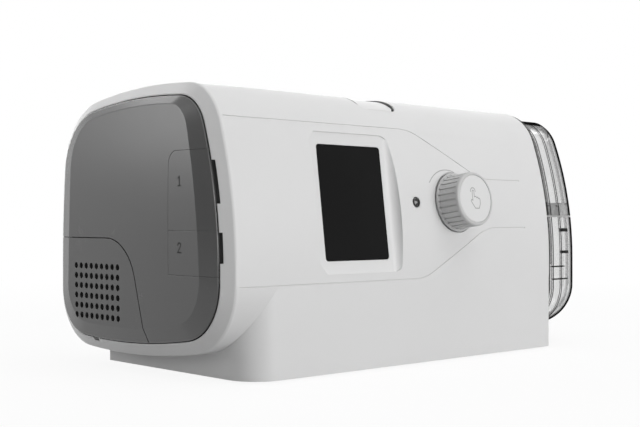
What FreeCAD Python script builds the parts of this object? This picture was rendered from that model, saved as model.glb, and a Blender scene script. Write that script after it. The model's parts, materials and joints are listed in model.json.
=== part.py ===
import FreeCAD, Part
import math
import os
import Sketcher
from FreeCAD import Placement, Rotation, Vector

# Bedside CPAP machine: a white sleeve on a skirted foot, a grey end panel with the air filter and the
# port doors, a tilted display and dial on the front, and a clear water tank in a bay at the right end.
# Frame: +X runs from the end panel to the tank, -Y is the front, +Z is up. The origin is the centre of
# the bounding box, at table height. Lengths are millimetres and angles are degrees.

SIZES = (
    # sleeve and foot
    ("case_length", 227.6, "sleeve, rim face to open end"),
    ("case_depth", 145.2, "sleeve, front to back at its widest"),
    ("case_height", 134.8, "top of the sleeve above the table"),
    ("case_floor", 7.5, "underside of the sleeve above the table"),
    ("belly_height", 50, "height of the widest line of the sleeve"),
    ("wall", 2.5, "moulded wall of the sleeve and the foot"),
    ("side_radius", 200, "lean of the front wall"),
    ("back_radius", 550, "lean of the back wall"),
    ("crown_radius", 330, "crown of the roof"),
    ("crown_ahead", 12, "middle of the crown, towards the front"),
    ("top_corner_radius", 26, "shoulder between front wall and roof"),
    ("top_back_radius", 37.6, "shoulder between back wall and roof"),
    ("bottom_corner_radius", 32, "lower front corner of the sleeve"),
    ("bottom_back_radius", 29, "lower back corner of the sleeve"),
    ("floor_crown", 400, "gentle curve of the sleeve's underside"),
    ("floor_behind", 15, "lowest line of the underside, towards the back"),
    ("foot_inset", 12.8, "foot, in from the rim face"),
    ("foot_from_back", 29.6, "back of the foot, in from the back of the sleeve"),
    ("foot_corner_radius", 16, "front left corner of the foot"),
    ("foot_back_radius", 3, "back left corner of the foot"),
    ("foot_clearance", 1, "skirt above the table"),
    ("rim_bevel", 4.1, "facet round the left end, along the sleeve"),
    ("rim_round", 1.4, "rounding of the facet's outer edge and of the end panel's face"),
    ("rim_edge", 0.5, "rounding of the facet's inner edge and of the end panel's edge"),
    ("rim_width", 5.9, "sleeve outline to the end panel's opening"),
    ("rim_behind", 2.6, "further width of the facet along the back"),
    ("rim_lip", 6, "depth of the lip that holds the end panel"),
    ("seam", 0.5, "visible gap between neighbouring covers"),
    ("door_seam", 0.16, "fine gap round the port doors"),
    ("fit_gap", 0.3, "clearance between nested pieces"),
    # end panel, doors and filter
    ("panel_proud", 3.6, "end panel, out from the rim face"),
    ("panel_bevel", 5.2, "width of the end panel's bevel along the top"),
    ("panel_bevel_side", 5.3, "further width of that bevel at the front and the back"),
    ("panel_bevel_low", 3.8, "further width of that bevel along the bottom"),
    ("panel_edge", 0.9, "straight edge of the end panel outside the rim"),
    ("panel_crown", 2000, "crown radius of the end panel"),
    ("panel_wall", 2.2, "wall of the end panel"),
    ("panel_flange", 1.8, "flange behind the lip"),
    ("cover_height", 55.6, "filter cover's top edge above the sleeve's floor"),
    ("cover_width", 73.65, "filter cover, top corner in from the back wall"),
    ("cover_slant", 15.5, "lean of the cover's front edge"),
    ("cover_corner", 25, "radius of the filter cover's corner"),
    ("grille_hole", 3.05, "diameter of a grille hole"),
    ("grille_pitch_across", 4.71, "grille columns"),
    ("grille_pitch_up", 4.89, "grille rows"),
    ("grille_columns", 9, "holes in a row"),
    ("grille_rows", 6, "rows of holes"),
    ("grille_low", 17.3, "lowest row above the sleeve's floor"),
    ("grille_back", 26.6, "last column, in from the back wall"),
    ("door_width", 39.25, "port doors, in from the front of the sleeve"),
    ("door_low", 39.8, "lower door's bottom edge above the sleeve's floor"),
    ("door_split", 59.55, "line between the two doors above the sleeve's floor"),
    ("door_high", 95.1, "upper door's top edge above the sleeve's floor"),
    ("door_corner", 6, "top corner of the upper door"),
    ("notch_deep", 1.5, "finger notches in the rim, into the lip"),
    ("notch_upper", 19, "finger notch of the upper door"),
    ("notch_upper_top", 4.8, "that notch, below the door's top"),
    ("notch_lower", 13.3, "finger notch of the lower door"),
    ("notch_lower_top", 0.7, "that notch, below the door's top"),
    ("notch_cover", 5, "finger notch of the filter cover"),
    ("notch_cover_back", 37, "that notch, in from the back wall"),
    ("port_y", 26, "middle of the sockets, in from the front wall"),
    ("usb_height", 89, "upper socket above the table"),
    ("card_height", 75, "card slot above the table"),
    ("data_height", 57, "lower socket above the table"),
    ("socket_length", 9, "sockets, front to board"),
    ("usb_width", 14.4, "upper socket"),
    ("usb_tall", 6.8, "upper socket"),
    ("card_width", 15, "card slot"),
    ("card_tall", 3.2, "card slot"),
    ("data_width", 10, "lower socket"),
    ("data_tall", 6, "lower socket"),
    ("socket_shell", 0.6, "metal shell of a socket"),
    ("filter_thick", 8, "foam filter"),
    ("tray_wall", 1.6, "filter tray wall"),
    # front group
    ("dial_height", 80.85, "height of the dial's axis where it meets the front"),
    ("front_tilt", 7.5, "lean of the display and the dial"),
    ("dial_from_rim", 150.1, "dial axis, from the rim face"),
    ("dial_radius", 13.9, "dial"),
    ("dial_length", 13.4, "dial, back face to front face"),
    ("dial_gap", 1.6, "dial above its seat"),
    ("dial_seat", 1.6, "depth of the dial's round seat"),
    ("dial_seat_radius", 15.8, "round seat of the dial"),
    ("dial_edge", 1.1, "bevel of the dial's front edge"),
    ("dial_flange", 1.3, "rim round the dial's back, beyond the grip"),
    ("dial_flange_thick", 0.8, "that rim"),
    ("dial_ribs", 28, "grip grooves"),
    ("dial_rib_deep", 0.6, "depth of a grip groove"),
    ("dial_travel", 0.8, "push of the dial"),
    ("shaft_radius", 3, "encoder shaft"),
    ("window_width", 41.8, "display window"),
    ("window_height", 55, "display window"),
    ("window_thick", 2, "display window glass"),
    ("window_corner", 1.6, "corner of the display window"),
    ("window_from_rim", 80.1, "window centre, from the rim face"),
    ("window_rise", -0.35, "window centre above the dial's axis, negative below"),
    ("bezel_deep", 4.0, "floor of the bezel below the front at the dial's height"),
    ("bezel_left", 6, "bezel floor beyond the window"),
    ("bezel_right", 2, "bezel floor beyond the window, on the dial's side"),
    ("bezel_top", 6, "bezel floor above the window"),
    ("bezel_bottom", 6.2, "bezel floor below the window"),
    ("bezel_sweep", 5.4, "width of the swept wall on the dial's side"),
    ("bezel_corner", 8, "upper right corner of the bezel"),
    ("bezel_low_corner", 5, "lower right corner of the bezel"),
    ("bezel_clip", 4.5, "clipped corners of the bezel on the left"),
    ("sensor_radius", 2.6, "light sensor lens"),
    ("sensor_dome", 1.1, "rise of that lens"),
    ("sensor_from_dial", 29.9, "light sensor, left of the dial"),
    ("sensor_drop", 0.2, "light sensor below the dial's axis"),
    ("line_width", 0.5, "moulded line round the front zone"),
    ("line_deep", 0.3, "depth of that line"),
    ("zone_half_tall", 37.8, "front zone, half height at the display"),
    ("zone_half_low", 13, "front zone, half height right of the dial"),
    ("zone_drop", 0.4, "middle of the front zone below the dial's axis"),
    ("zone_shoulder", 124, "where the zone starts to narrow, from the rim face"),
    ("zone_neck", 173, "where the zone ends narrowing, from the rim face"),
    ("zone_end", 206.1, "right end of the lines, from the rim face"),
    ("zone_start", 6, "left end of the lines, from the rim face"),
    ("zone_bend", 30, "bend radius of the lines"),
    ("board_thick", 1.6, "circuit boards"),
    ("board_beyond", 12, "main board, beyond the bezel on the left"),
    ("board_deep", 12.5, "main board's face behind the front"),
    ("board_low", 37, "main board, below the dial's axis"),
    ("board_high", 29, "main board, above the dial's axis"),
    ("post_radius", 3, "posts under the boards"),
    ("encoder_size", 12.4, "encoder, square"),
    ("encoder_height", 6.6, "encoder"),
    ("encoder_neck", 4.6, "encoder's threaded neck"),
    ("jack_radius", 5.5, "power jack's face"),
    ("jack_bore", 2.9, "power jack's bore"),
    ("jack_length", 14, "power jack"),
    ("jack_pin", 1, "radius of the power jack's pin"),
    ("power_board_length", 56, "power board, along the sleeve"),
    ("jack_height", 46, "power jack above the table"),
    ("jack_from_rim", 95.6, "power jack, from the rim face"),
    ("buzzer_radius", 6, "buzzer"),
    ("chip_size", 12, "main chip"),
    ("plunger_radius", 5, "encoder plunger"),
    ("plunger_thick", 1, "encoder plunger"),
    ("cap_radius", 12.3, "disc in the dial's face"),
    ("cap_thick", 1, "disc in the dial's face"),
    ("cap_bevel", 0.4, "bevel round that disc"),
    ("dial_rib_width", 0.75, "grip groove"),
    ("dial_rib_start", 1.0, "grip groove, in front of the dial's back face"),
    ("dial_rib_length", 10.4, "grip groove"),
    ("sensor_from_bulkhead", 40, "flow sensor, from the bulkhead"),
    ("sensor_length", 16, "flow sensor"),
    ("sensor_height", 6, "flow sensor"),
    ("sensor_tall", 10.7, "flow sensor, up and down"),
    ("plate_thick", 0.8, "metal plate in the tank"),
    # start button
    ("button_width", 22.6, "start button, along the sleeve"),
    ("button_reach", 27.5, "start button, over the shoulder"),
    ("button_from_front", 31.2, "start button centre, in from the front wall"),
    ("button_corner", 3, "corner of the start button"),
    ("button_stem", 5, "stem under the start button"),
    ("stem_deep", 11, "end of that stem, below the roof"),
    ("switch_size", 6, "push switch, square"),
    ("switch_key", 1.5, "radius of the push switch's key"),
    ("switch_height", 4.3, "push switch"),
    ("button_from_rim", 110.4, "start button centre, from the rim face"),
    ("button_lean", 22, "press direction, from straight down"),
    ("button_sink", 0.7, "start button below the sleeve"),
    ("button_recess", 1.6, "shallow recess round the button"),
    ("button_margin", 1.4, "recess beyond the button"),
    ("gasket_sink", 0.95, "rubber ring round the start button, below the sleeve"),
    ("gasket_thick", 0.55, "that ring"),
    ("button_travel", 0.8, "push of the button"),
    # humidifier
    ("tank_overhang", 50, "tank, out of the sleeve"),
    ("tank_depth_in", 57, "tank, inside the sleeve"),
    ("tank_inset", 5, "tank outline, in from the sleeve's"),
    ("tank_end_inset", 3.2, "tank outline outside the sleeve, in from the sleeve's"),
    ("tank_collar", 2, "flush collar of the tank against the sleeve's end"),
    ("tank_collar_inset", 0.4, "that collar, in from the sleeve's outline"),
    ("tank_low", 10.5, "floor of the tank outside the sleeve above the table"),
    ("tank_floor", 16.5, "flat floor of the tank inside its bay above the table"),
    ("tank_wall", 2.2, "wall of the tank"),
    ("tank_split", 73.4, "height of the joint between tub and lid"),
    ("tank_seal", 1, "silicone seal between tub and lid"),
    ("tank_plan_corner", 33, "rounding of the tank's end seen from above"),
    ("tank_top_round", 20, "rounding of the tank's end along its top"),
    ("tank_low_round", 24, "rounding of the tank's end along its floor"),
    ("tank_flange", 1.8, "flange inside the joint between tub and lid"),
    ("bay_clear", 0.6, "tank to bay"),
    ("port_radius", 9, "air ports, bore"),
    ("port_from_top", 28.8, "axis of the air ports below the top of the sleeve"),
    ("port_in_ahead", 32, "air port from the blower, ahead of the blower axis"),
    ("port_spread", 36, "from that port to the air port to the outlet"),
    ("duct_wall", 2, "air duct wall"),
    ("foam_from_front", 55.6, "front edge of the roof foam, in from the front of the sleeve"),
    ("duct_bend", 22, "bend radius of the air ducts"),
    ("seal_width", 3, "port seals, across the ring"),
    ("seal_sink", 1, "port seals, into the bulkhead"),
    ("seal_gap", 0.1, "port seals, clear of the tank"),
    ("seal_height", 7, "band of the tank's seal inside the lid"),
    ("spigot_length", 16, "air spigots inside the lid"),
    ("outlet_collar", 1.4, "collar of the air outlet, beyond its tube"),
    ("outlet_grip", 18, "length of the air outlet that a hose covers"),
    ("outlet_flange", 4, "flange of the air outlet"),
    ("heater_from_bulkhead", 8, "heater plate, from the bulkhead"),
    ("outlet_radius", 11, "air outlet, outside"),
    ("outlet_proud", 14, "air outlet, out from the back of the sleeve"),
    ("heater_length", 40, "heater plate"),
    ("heater_width", 56, "heater plate"),
    ("heater_thick", 2, "heater plate"),
    # blower
    ("mount_spread", 6, "rubber mounts, each way from the blower's middle"),
    ("mount_radius", 3.5, "rubber mounts"),
    ("blower_from_foot", 19, "blower axis, in from the back of the foot"),
    ("blower_z", 50, "blower axis above the table"),
    ("blower_radius", 35, "volute, outside"),
    ("blower_width", 27, "volute, along its axis"),
    ("blower_wall", 2, "volute wall"),
    ("inlet_radius", 10.5, "blower inlet"),
    ("impeller_radius", 25, "impeller"),
    ("hub_radius", 6.2, "impeller hub"),
    ("impeller_gap", 2, "impeller to volute"),
    ("impeller_blades", 11, "blades"),
    ("blade_thick", 1, "a blade"),
    ("blade_sweep", 0.28, "how far a blade's tip lies back, by the impeller's radius"),
    ("motor_radius", 17, "blower motor"),
    ("motor_length", 22, "blower motor"),
    ("motor_gap", 1, "air gap and end gaps in the motor"),
    ("motor_shaft", 2, "blower shaft radius"),
    ("bearing_radius", 5, "motor bearings"),
    ("bearing_width", 2.5, "motor bearings"),
    ("rotor_radius", 10, "motor rotor"),
    ("running_fit", 0.04, "radial play of what turns or slides in a bore"),
    ("bellows_length", 6, "inlet bellows"),
    # underside
    ("cover_thick", 2.5, "bottom cover"),
    ("pad_radius", 7, "rubber foot"),
    ("pad_height", 2.6, "rubber foot"),
    ("pad_bevel", 0.9, "bevel round a rubber foot"),
    ("boss_radius", 4, "screw boss"),
    ("screw_radius", 1.5, "case screw"),
    ("screw_head", 2.8, "case screw head radius"),
    ("pad_from_end", 30, "rubber feet, in from the foot's ends"),
    ("pad_from_side", 15, "rubber feet, in from the foot's sides"),
)


class Dim:
    """A size worked out from the sheet: its number, and the formula that binds a property to it."""

    def __init__(self, formula, number):
        self.formula = formula
        self.number = number

    def __add__(self, other):
        return joined(self, "+", other, float(self) + float(other))

    def __radd__(self, other):
        return joined(other, "+", self, float(other) + float(self))

    def __sub__(self, other):
        return joined(self, "-", other, float(self) - float(other))

    def __rsub__(self, other):
        return joined(other, "-", self, float(other) - float(self))

    def __mul__(self, other):
        return joined(self, "*", other, float(self) * float(other))

    __rmul__ = __mul__

    def __truediv__(self, other):
        return joined(self, "/", other, float(self) / float(other))

    def __neg__(self):
        return Dim(f"(0 - {self.formula})", -self.number)

    def __float__(self):
        return float(self.number)


def formula_of(value):
    return value.formula if isinstance(value, Dim) else repr(value)


def joined(left, sign, right, number):
    return Dim(f"({formula_of(left)} {sign} {formula_of(right)})", number)


def root(value):
    return Dim(f"sqrt({value.formula})", math.sqrt(float(value)))


def sine(angle):
    return Dim(f"sin({angle.formula})", math.sin(math.radians(float(angle))))


def cosine(angle):
    return Dim(f"cos({angle.formula})", math.cos(math.radians(float(angle))))


doc = FreeCAD.newDocument("cpap")
sheet = doc.addObject("Spreadsheet::Sheet", "sizes")
for row, (alias, number, meaning) in enumerate(SIZES, start=1):
    sheet.set(f"A{row}", str(number))
    sheet.setAlias(f"A{row}", alias)
    sheet.set(f"B{row}", meaning)
doc.recompute()


class Sheet:
    """The driving sizes, by name."""

    def __getattr__(self, alias):
        return Dim(f"sizes.{alias}", float(sheet.get(alias)))


S = Sheet()
NODES = []

# Stations along X.
rim_x = S.panel_proud - (S.panel_proud + S.case_length + S.tank_overhang) / 2
end_x = rim_x + S.case_length
foot_x = rim_x + S.foot_inset
bay_x = end_x - S.tank_depth_in - S.bay_clear
bulkhead_x = bay_x - S.wall
dial_x = rim_x + S.dial_from_rim
window_x = rim_x + S.window_from_rim
button_x = rim_x + S.button_from_rim
sensor_x = dial_x - S.sensor_from_dial

# The front wall leans back on side_radius; its depth below the widest line, at the dial's height.
dial_above_belly = S.dial_height - S.belly_height
dial_lean_in = S.side_radius - root(S.side_radius * S.side_radius - dial_above_belly * dial_above_belly)
dial_round_out = S.dial_length + S.dial_gap - S.dial_seat - S.dial_edge
dial_round_up = S.dial_radius - S.dial_edge
dial_reach = dial_round_out * cosine(S.front_tilt) + dial_round_up * sine(S.front_tilt) + S.dial_edge
front_reach = S.case_depth / 2 - dial_lean_in + dial_reach
back_reach = S.case_depth / 2 + S.outlet_proud
mid_y = (front_reach - back_reach) / 2
front_y = mid_y - S.case_depth / 2
back_y = mid_y + S.case_depth / 2
foot_back_y = back_y - S.foot_from_back
dial_y = front_y + dial_lean_in


# ---------------------------------------------------------------- document helpers
def bind(obj, **sizes):
    for name, value in sizes.items():
        obj.setExpression(name.replace("_", "."), formula_of(value))
    return obj


def put(obj, x, y, z):
    for name, value in zip("xyz", (x, y, z)):
        obj.setExpression(f"Placement.Base.{name}", formula_of(value))
    return obj


def box(name, xs, ys, zs):
    obj = doc.addObject("Part::Box", name)
    bind(obj, Length=xs[1] - xs[0], Width=ys[1] - ys[0], Height=zs[1] - zs[0])
    return put(obj, xs[0], ys[0], zs[0])


TURNS = {"x": Rotation(Vector(0, 1, 0), 90), "y": Rotation(Vector(1, 0, 0), -90), "z": Rotation()}


def along(axis, centre, start):
    """The x, y, z of a start point on an axis, from the two coordinates across it."""
    first, second = centre
    return {"x": (start, first, second), "y": (first, start, second), "z": (first, second, start)}[axis]


def cylinder(name, radius, centre, span, axis="z"):
    obj = bind(doc.addObject("Part::Cylinder", name), Radius=radius, Height=span[1] - span[0])
    obj.Placement = Placement(Vector(), TURNS[axis])
    return put(obj, *along(axis, centre, span[0]))


def fuse(name, *shapes):
    obj = doc.addObject("Part::MultiFuse", name)
    obj.Shapes = list(shapes)
    return obj


def cut(name, base, *tools):
    obj = doc.addObject("Part::Cut", name)
    obj.Base = base
    obj.Tool = tools[0] if len(tools) == 1 else fuse(name + "_tools", *tools)
    return obj


def rounded(name, base, radius, chosen):
    """Part::Fillet of the edges of base that chosen accepts."""
    doc.recompute()
    obj = doc.addObject("Part::Fillet", name)
    obj.Base = base
    picked = [i for i, edge in enumerate(base.Shape.Edges, start=1) if chosen(edge)]
    obj.Edges = [(i, float(radius), float(radius)) for i in picked]
    return obj


def formed(name, shape):
    obj = doc.addObject("Part::Feature", name)
    obj.Shape = shape
    return obj


def node(obj, label):
    obj.Label = label
    NODES.append(obj)
    return obj


def leaning(obj, angle, x, y, z):
    """Turns a finished piece about X, then moves it."""
    obj.Placement = Placement(Vector(), Rotation(Vector(1, 0, 0), float(angle)))
    obj.setExpression("Placement.Rotation.Angle", formula_of(angle))
    return put(obj, x, y, z)


def on_front(obj):
    """Front frame: upright X and Z, with Y into the sleeve from the front at the dial's height."""
    return leaning(obj, -S.front_tilt, 0.0, dial_y, S.dial_height)


def facing_out(obj, x, rise=0.0):
    """Front frame turned so that Z points out of the front, at x and at a rise from the dial's axis."""
    y = dial_y + rise * sine(S.front_tilt)
    return leaning(obj, 90 - S.front_tilt, x, y, S.dial_height + rise * cosine(S.front_tilt))


def on_button(obj):
    """The start button's frame, whose Z is the press axis, upwards."""
    return leaning(obj, S.button_lean, button_x, button_y, S.case_height)


def facing_x(body, x, y, z):
    """A piece turned about its own Z axis, laid along X."""
    body.Placement = Placement(Vector(), TURNS["x"])
    return put(body, x, y, z)


def origin_plane(body, role):
    return next(feature for feature in body.Origin.OriginFeatures if feature.Role == role)


def outline_sketch(body, role, corners):
    """A closed sketch of straight lines whose corners are each bound to the sheet."""
    sketch = body.newObject("Sketcher::SketchObject", body.Name + "_outline")
    sketch.AttachmentSupport = [(origin_plane(body, role), "")]
    sketch.MapMode = "FlatFace"
    points = [Vector(float(a), float(b), 0) for a, b in corners]
    for i, point in enumerate(points):
        sketch.addGeometry(Part.LineSegment(point, points[(i + 1) % len(points)]))
    for i, (a, b) in enumerate(corners):
        sketch.addConstraint(Sketcher.Constraint("Coincident", i, 2, (i + 1) % len(corners), 1))
        for kind, value in (("DistanceX", a), ("DistanceY", b)):
            index = sketch.addConstraint(Sketcher.Constraint(kind, -1, 1, i, 1, float(value)))
            sketch.setExpression(f"Constraints[{index}]", formula_of(value))
    return sketch


def turned(name, corners):
    """A body of revolution about its own Z axis, from (radius, height) corners."""
    body = doc.addObject("PartDesign::Body", name)
    sketch = outline_sketch(body, "XZ_Plane", corners)
    turn = body.newObject("PartDesign::Revolution", name + "_turn")
    turn.Profile = sketch
    turn.ReferenceAxis = (sketch, ["V_Axis"])
    turn.Angle = 360
    return body


# ---------------------------------------------------------------- computed outlines
def vec(x, y, z):
    return Vector(float(x), float(y), float(z))


def arc_edge(place, centre, radius, first, last):
    """An arc from first to last degrees; place turns its two coordinates into a point."""
    points = []
    for angle in (first, (first + last) / 2, last):
        turn = math.radians(angle)
        points.append(place(centre[0] + radius * math.cos(turn), centre[1] + radius * math.sin(turn)))
    return Part.Arc(*points).toShape()


def line_edge(start, end):
    return Part.LineSegment(start, end).toShape()


def side_radii(sign):
    """Radii of the wall, its shoulder and its lower corner, at the back (1) or the front (-1)."""
    if sign > 0:
        return float(S.back_radius), float(S.top_back_radius), float(S.bottom_back_radius)
    return float(S.side_radius), float(S.top_corner_radius), float(S.bottom_corner_radius)


def shoulder(sign, half):
    """Centres of a wall, the crown and the shoulder, and the angles where the shoulder's arc ends."""
    wall, corner, _ = side_radii(sign)
    side = (half - wall, float(S.belly_height))
    crown = (-sign * float(S.crown_ahead), float(S.case_height - S.crown_radius))
    near = wall - corner
    far = float(S.crown_radius) - corner
    apart = math.dist(side, crown)
    reach = (near * near - far * far + apart * apart) / (2 * apart)
    height = math.sqrt(near * near - reach * reach)
    ahead = ((crown[0] - side[0]) / apart, (crown[1] - side[1]) / apart)
    centre = (side[0] + reach * ahead[0] - height * ahead[1],
              side[1] + reach * ahead[1] + height * ahead[0])
    low = math.degrees(math.atan2(centre[1] - side[1], centre[0] - side[0]))
    high = math.degrees(math.atan2(centre[1] - crown[1], centre[0] - crown[0]))
    return side, crown, centre, low, high


def lower_corner(sign, half, lift):
    """Centres of the underside and of a lower corner, and the angle where their arcs meet."""
    corner = side_radii(sign)[2]
    floor = (sign * float(S.floor_behind), float(S.case_floor + lift + S.floor_crown))
    across = half - corner
    apart = float(S.floor_crown) - corner
    drop = math.sqrt(apart * apart - (across - floor[0]) ** 2)
    return floor, (across, floor[1] - drop), -math.degrees(math.atan2(drop, across - floor[0]))


def sleeve_outline(inset, x, front=0, back=0, lift=0):
    """The sleeve's outline at x, moved in by inset and further in at the front, the back and below."""
    inset = float(inset)
    belly = float(S.belly_height)
    edges = []
    meets = {}
    for sign, narrow in ((1, back), (-1, front)):
        def place(across, up, sign=sign):
            return vec(x, float(mid_y) + sign * across, up)
        half = float(S.case_depth / 2 - narrow)
        wall, upper, lower = side_radii(sign)
        side, crown, centre, low, high = shoulder(sign, half)
        floor, corner, meet = lower_corner(sign, half, lift)
        edges.append(arc_edge(place, corner, lower - inset, meet, 0))
        edges.append(line_edge(place(half - inset, corner[1]), place(half - inset, belly)))
        edges.append(arc_edge(place, side, wall - inset, 0, low))
        edges.append(arc_edge(place, centre, upper - inset, low, high))
        meets[sign] = (high, meet)
    edges.append(arc_edge(place, crown, float(S.crown_radius) - inset, meets[-1][0], 180 - meets[1][0]))
    edges.append(arc_edge(place, floor, float(S.floor_crown) - inset, -180 - meets[1][1], meets[-1][1]))
    return Part.Wire(Part.__sortEdges__(edges))


def slab(inset, start, end):
    """A length of the sleeve's outline, moved in by inset."""
    return Part.Face(sleeve_outline(inset, start)).extrude(vec(end - start, 0, 0))


def rim_outline(inset, x):
    """The outline of the end panel's opening, moved in by inset."""
    return sleeve_outline(inset, x, 0, S.rim_behind)


def rim_slab(inset, start, end):
    """A length of the outline of the end panel's opening, moved in by inset."""
    return Part.Face(rim_outline(inset, start)).extrude(vec(end - start, 0, 0))


def block(xs, ys, zs):
    size = [float(high) - float(low) for low, high in (xs, ys, zs)]
    return Part.makeBox(*size, vec(xs[0], ys[0], zs[0]))


def rod(radius, start, end):
    """A round bar between two points."""
    line = end - start
    return Part.makeCylinder(float(radius), line.Length, start, line)


def soft_rectangle(place, across, up, radii):
    """A closed rectangle; its corners take the four radii, anticlockwise from low left."""
    (left, right), (low, high) = [[float(value) for value in pair] for pair in (across, up)]
    corners = ((left, low, 1, 1), (right, low, -1, 1), (right, high, -1, -1), (left, high, 1, -1))
    arcs = []
    for turn, ((a, b, inward, upward), radius) in enumerate(zip(corners, radii), start=2):
        radius = float(radius)
        centre = (a + inward * radius, b + upward * radius)
        arcs.append(arc_edge(place, centre, radius, turn * 90, turn * 90 + 90))
    edges = []
    for here, after in zip(arcs, arcs[1:] + arcs[:1]):
        edges += [here, line_edge(here.Vertexes[1].Point, after.Vertexes[0].Point)]
    return Part.Wire(Part.__sortEdges__(edges))


def on_x(x):
    return lambda across, up: vec(x, across, up)


def on_y(y):
    return lambda across, up: vec(across, y, up)


def on_z(z):
    return lambda across, up: vec(across, up, z)


def prism(wire, direction):
    return Part.Face(wire).extrude(direction)


def leaned(shape):
    """Moves a shape from the upright front frame to the leaning front at the dial's height."""
    moved = shape.copy()
    turn = Rotation(Vector(1, 0, 0), -float(S.front_tilt))
    moved.Placement = Placement(vec(0, dial_y, S.dial_height), turn)
    return moved


def bent_path(points, radius):
    """Straight runs joined by tangent arcs of one radius."""
    radius = float(radius)
    edges = []
    start = points[0]
    for before, corner, after in zip(points, points[1:], points[2:]):
        inward = (before - corner).normalize()
        outward = (after - corner).normalize()
        half = inward.getAngle(outward) / 2
        trim = radius / math.tan(half)
        middle = (inward + outward).normalize()
        first = corner + inward * trim
        last = corner + outward * trim
        summit = corner + middle * (radius / math.sin(half) - radius)
        edges.append(line_edge(start, first))
        edges.append(Part.Arc(first, summit, last).toShape())
        start = last
    edges.append(line_edge(start, points[-1]))
    return Part.Wire(edges)


def pipe(points, bend, radius):
    """A round bar of one radius along a bent path."""
    path = bent_path(points, bend)
    ring = Part.Wire(Part.makeCircle(float(radius), points[0], points[1] - points[0]))
    return path.makePipeShell([ring], True, False)


def fillet(shape, radius, chosen):
    return shape.makeFillet(float(radius), [edge for edge in shape.Edges if chosen(edge)])


def lies_at(edge, axis, level, within=0.01):
    """Whether an edge lies in the plane at level across the axis."""
    low = getattr(edge.BoundBox, axis + "Min")
    high = getattr(edge.BoundBox, axis + "Max")
    return abs(low - float(level)) < within and abs(high - float(level)) < within


# ---------------------------------------------------------------- shared places
far = S.case_depth
panel_x = rim_x - S.panel_proud
panel_inset = S.rim_width + S.seam
panel_hollow = panel_inset + S.panel_wall
lip_x = rim_x + S.rim_lip
flange_x = lip_x + S.panel_flange
door_stop_x = rim_x - S.fit_gap
hinge_y = front_y + S.door_width
cover_high_z = S.case_floor + S.cover_height
door_low_z = S.case_floor + S.door_low
door_split_z = S.case_floor + S.door_split
door_high_z = S.case_floor + S.door_high
foot_top_z = (S.belly_height + lower_corner(-1, float(S.case_depth / 2), 0)[1][1]) / 2
floor_z = S.case_floor + S.wall
base_low_z = S.foot_clearance
base_top_z = S.foot_clearance + S.cover_thick
screw_tip_z = S.case_floor - S.screw_radius / 2
dial_back = S.dial_gap - S.dial_seat
dial_front = dial_back + S.dial_length
half_window = S.window_width / 2
window_low = S.window_rise - S.window_height / 2
window_high = S.window_rise + S.window_height / 2
backing = S.bezel_deep + S.wall
tank_x = end_x - S.tank_depth_in
tank_end_x = end_x + S.tank_overhang
tank_floor_z = S.tank_floor
bay_floor_z = tank_floor_z - S.bay_clear
lid_z = S.tank_split + S.tank_seal
port_z = S.case_height - S.port_from_top
duct_outside = S.port_radius + S.duct_wall
blower_y = foot_back_y - S.blower_from_foot
port_in_y = blower_y - S.port_in_ahead
port_out_y = port_in_y + S.port_spread
tray_x = rim_x - S.panel_edge + S.panel_wall
tray_back_x = tray_x + S.filter_thick + S.tray_wall
volute_x = tray_back_x + S.bellows_length
volute_mid_x = volute_x + S.blower_width / 2
volute_end_x = volute_x + S.blower_width
motor_end_x = volute_end_x + S.motor_length
outlet_x = bulkhead_x - S.duct_bend
port_plate_x = rim_x + S.panel_wall
socket_board_x = rim_x + S.socket_length
ports_y = front_y + S.port_y
jack_x = rim_x + S.jack_from_rim
button_y = front_y + S.button_from_front
middle_z = (S.case_floor + S.case_height) / 2


def boss_places():
    """Plan positions of the four screw bosses, each against a wall of the foot."""
    reach = S.wall + S.boss_radius - S.fit_gap
    return (
        (foot_x + S.foot_corner_radius, front_y + reach),
        (foot_x + reach, foot_back_y - reach),
        (end_x - reach, front_y + reach),
        (end_x - reach, foot_back_y - reach),
    )


def pad_places():
    """Plan positions of the four rubber feet."""
    stations = (foot_x + S.pad_from_end, end_x - S.pad_from_end)
    rows = (front_y + S.pad_from_side, foot_back_y - S.pad_from_side)
    return [(x, y) for x in stations for y in rows]


def foot_outline(inset, z):
    """Plan of the foot at height z, moved in by inset."""
    sharp = float(S.seam)
    front_left = float(S.foot_corner_radius - inset)
    back_left = max(float(S.foot_back_radius - inset), sharp)
    across = (foot_x + inset, end_x - inset)
    up = (front_y + inset, foot_back_y - inset)
    return soft_rectangle(on_z(z), across, up, (front_left, sharp, sharp, back_left))


def button_frame(shape):
    """Moves a shape from an upright frame to the start button's, whose Z is the press axis."""
    moved = shape.copy()
    turn = Rotation(Vector(1, 0, 0), float(S.button_lean))
    moved.Placement = Placement(vec(button_x, button_y, S.case_height), turn)
    return moved


def button_prism(grown):
    """A bar along the press axis with the button's outline, grown all round."""
    across = (-S.button_width / 2 - grown, S.button_width / 2 + grown)
    up = (-S.button_reach / 2 - grown, S.button_reach / 2 + grown)
    radii = [S.button_corner + grown] * 4
    return button_frame(prism(soft_rectangle(on_z(-far), across, up, radii), vec(0, 0, 2 * far)))


# ---------------------------------------------------------------- sleeve and foot
def sleeve_solid():
    bevel_x = rim_x + S.rim_bevel
    rim_inset = S.rim_width - S.rim_edge
    facet = Part.makeLoft([rim_outline(rim_inset, rim_x), sleeve_outline(0, bevel_x)], True, True)
    solid = slab(0, bevel_x, end_x).fuse(facet).removeSplitter()
    solid = fillet(solid, S.rim_round, lambda edge: lies_at(edge, "X", bevel_x))
    return fillet(solid, S.rim_edge, lambda edge: lies_at(edge, "X", rim_x))


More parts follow.
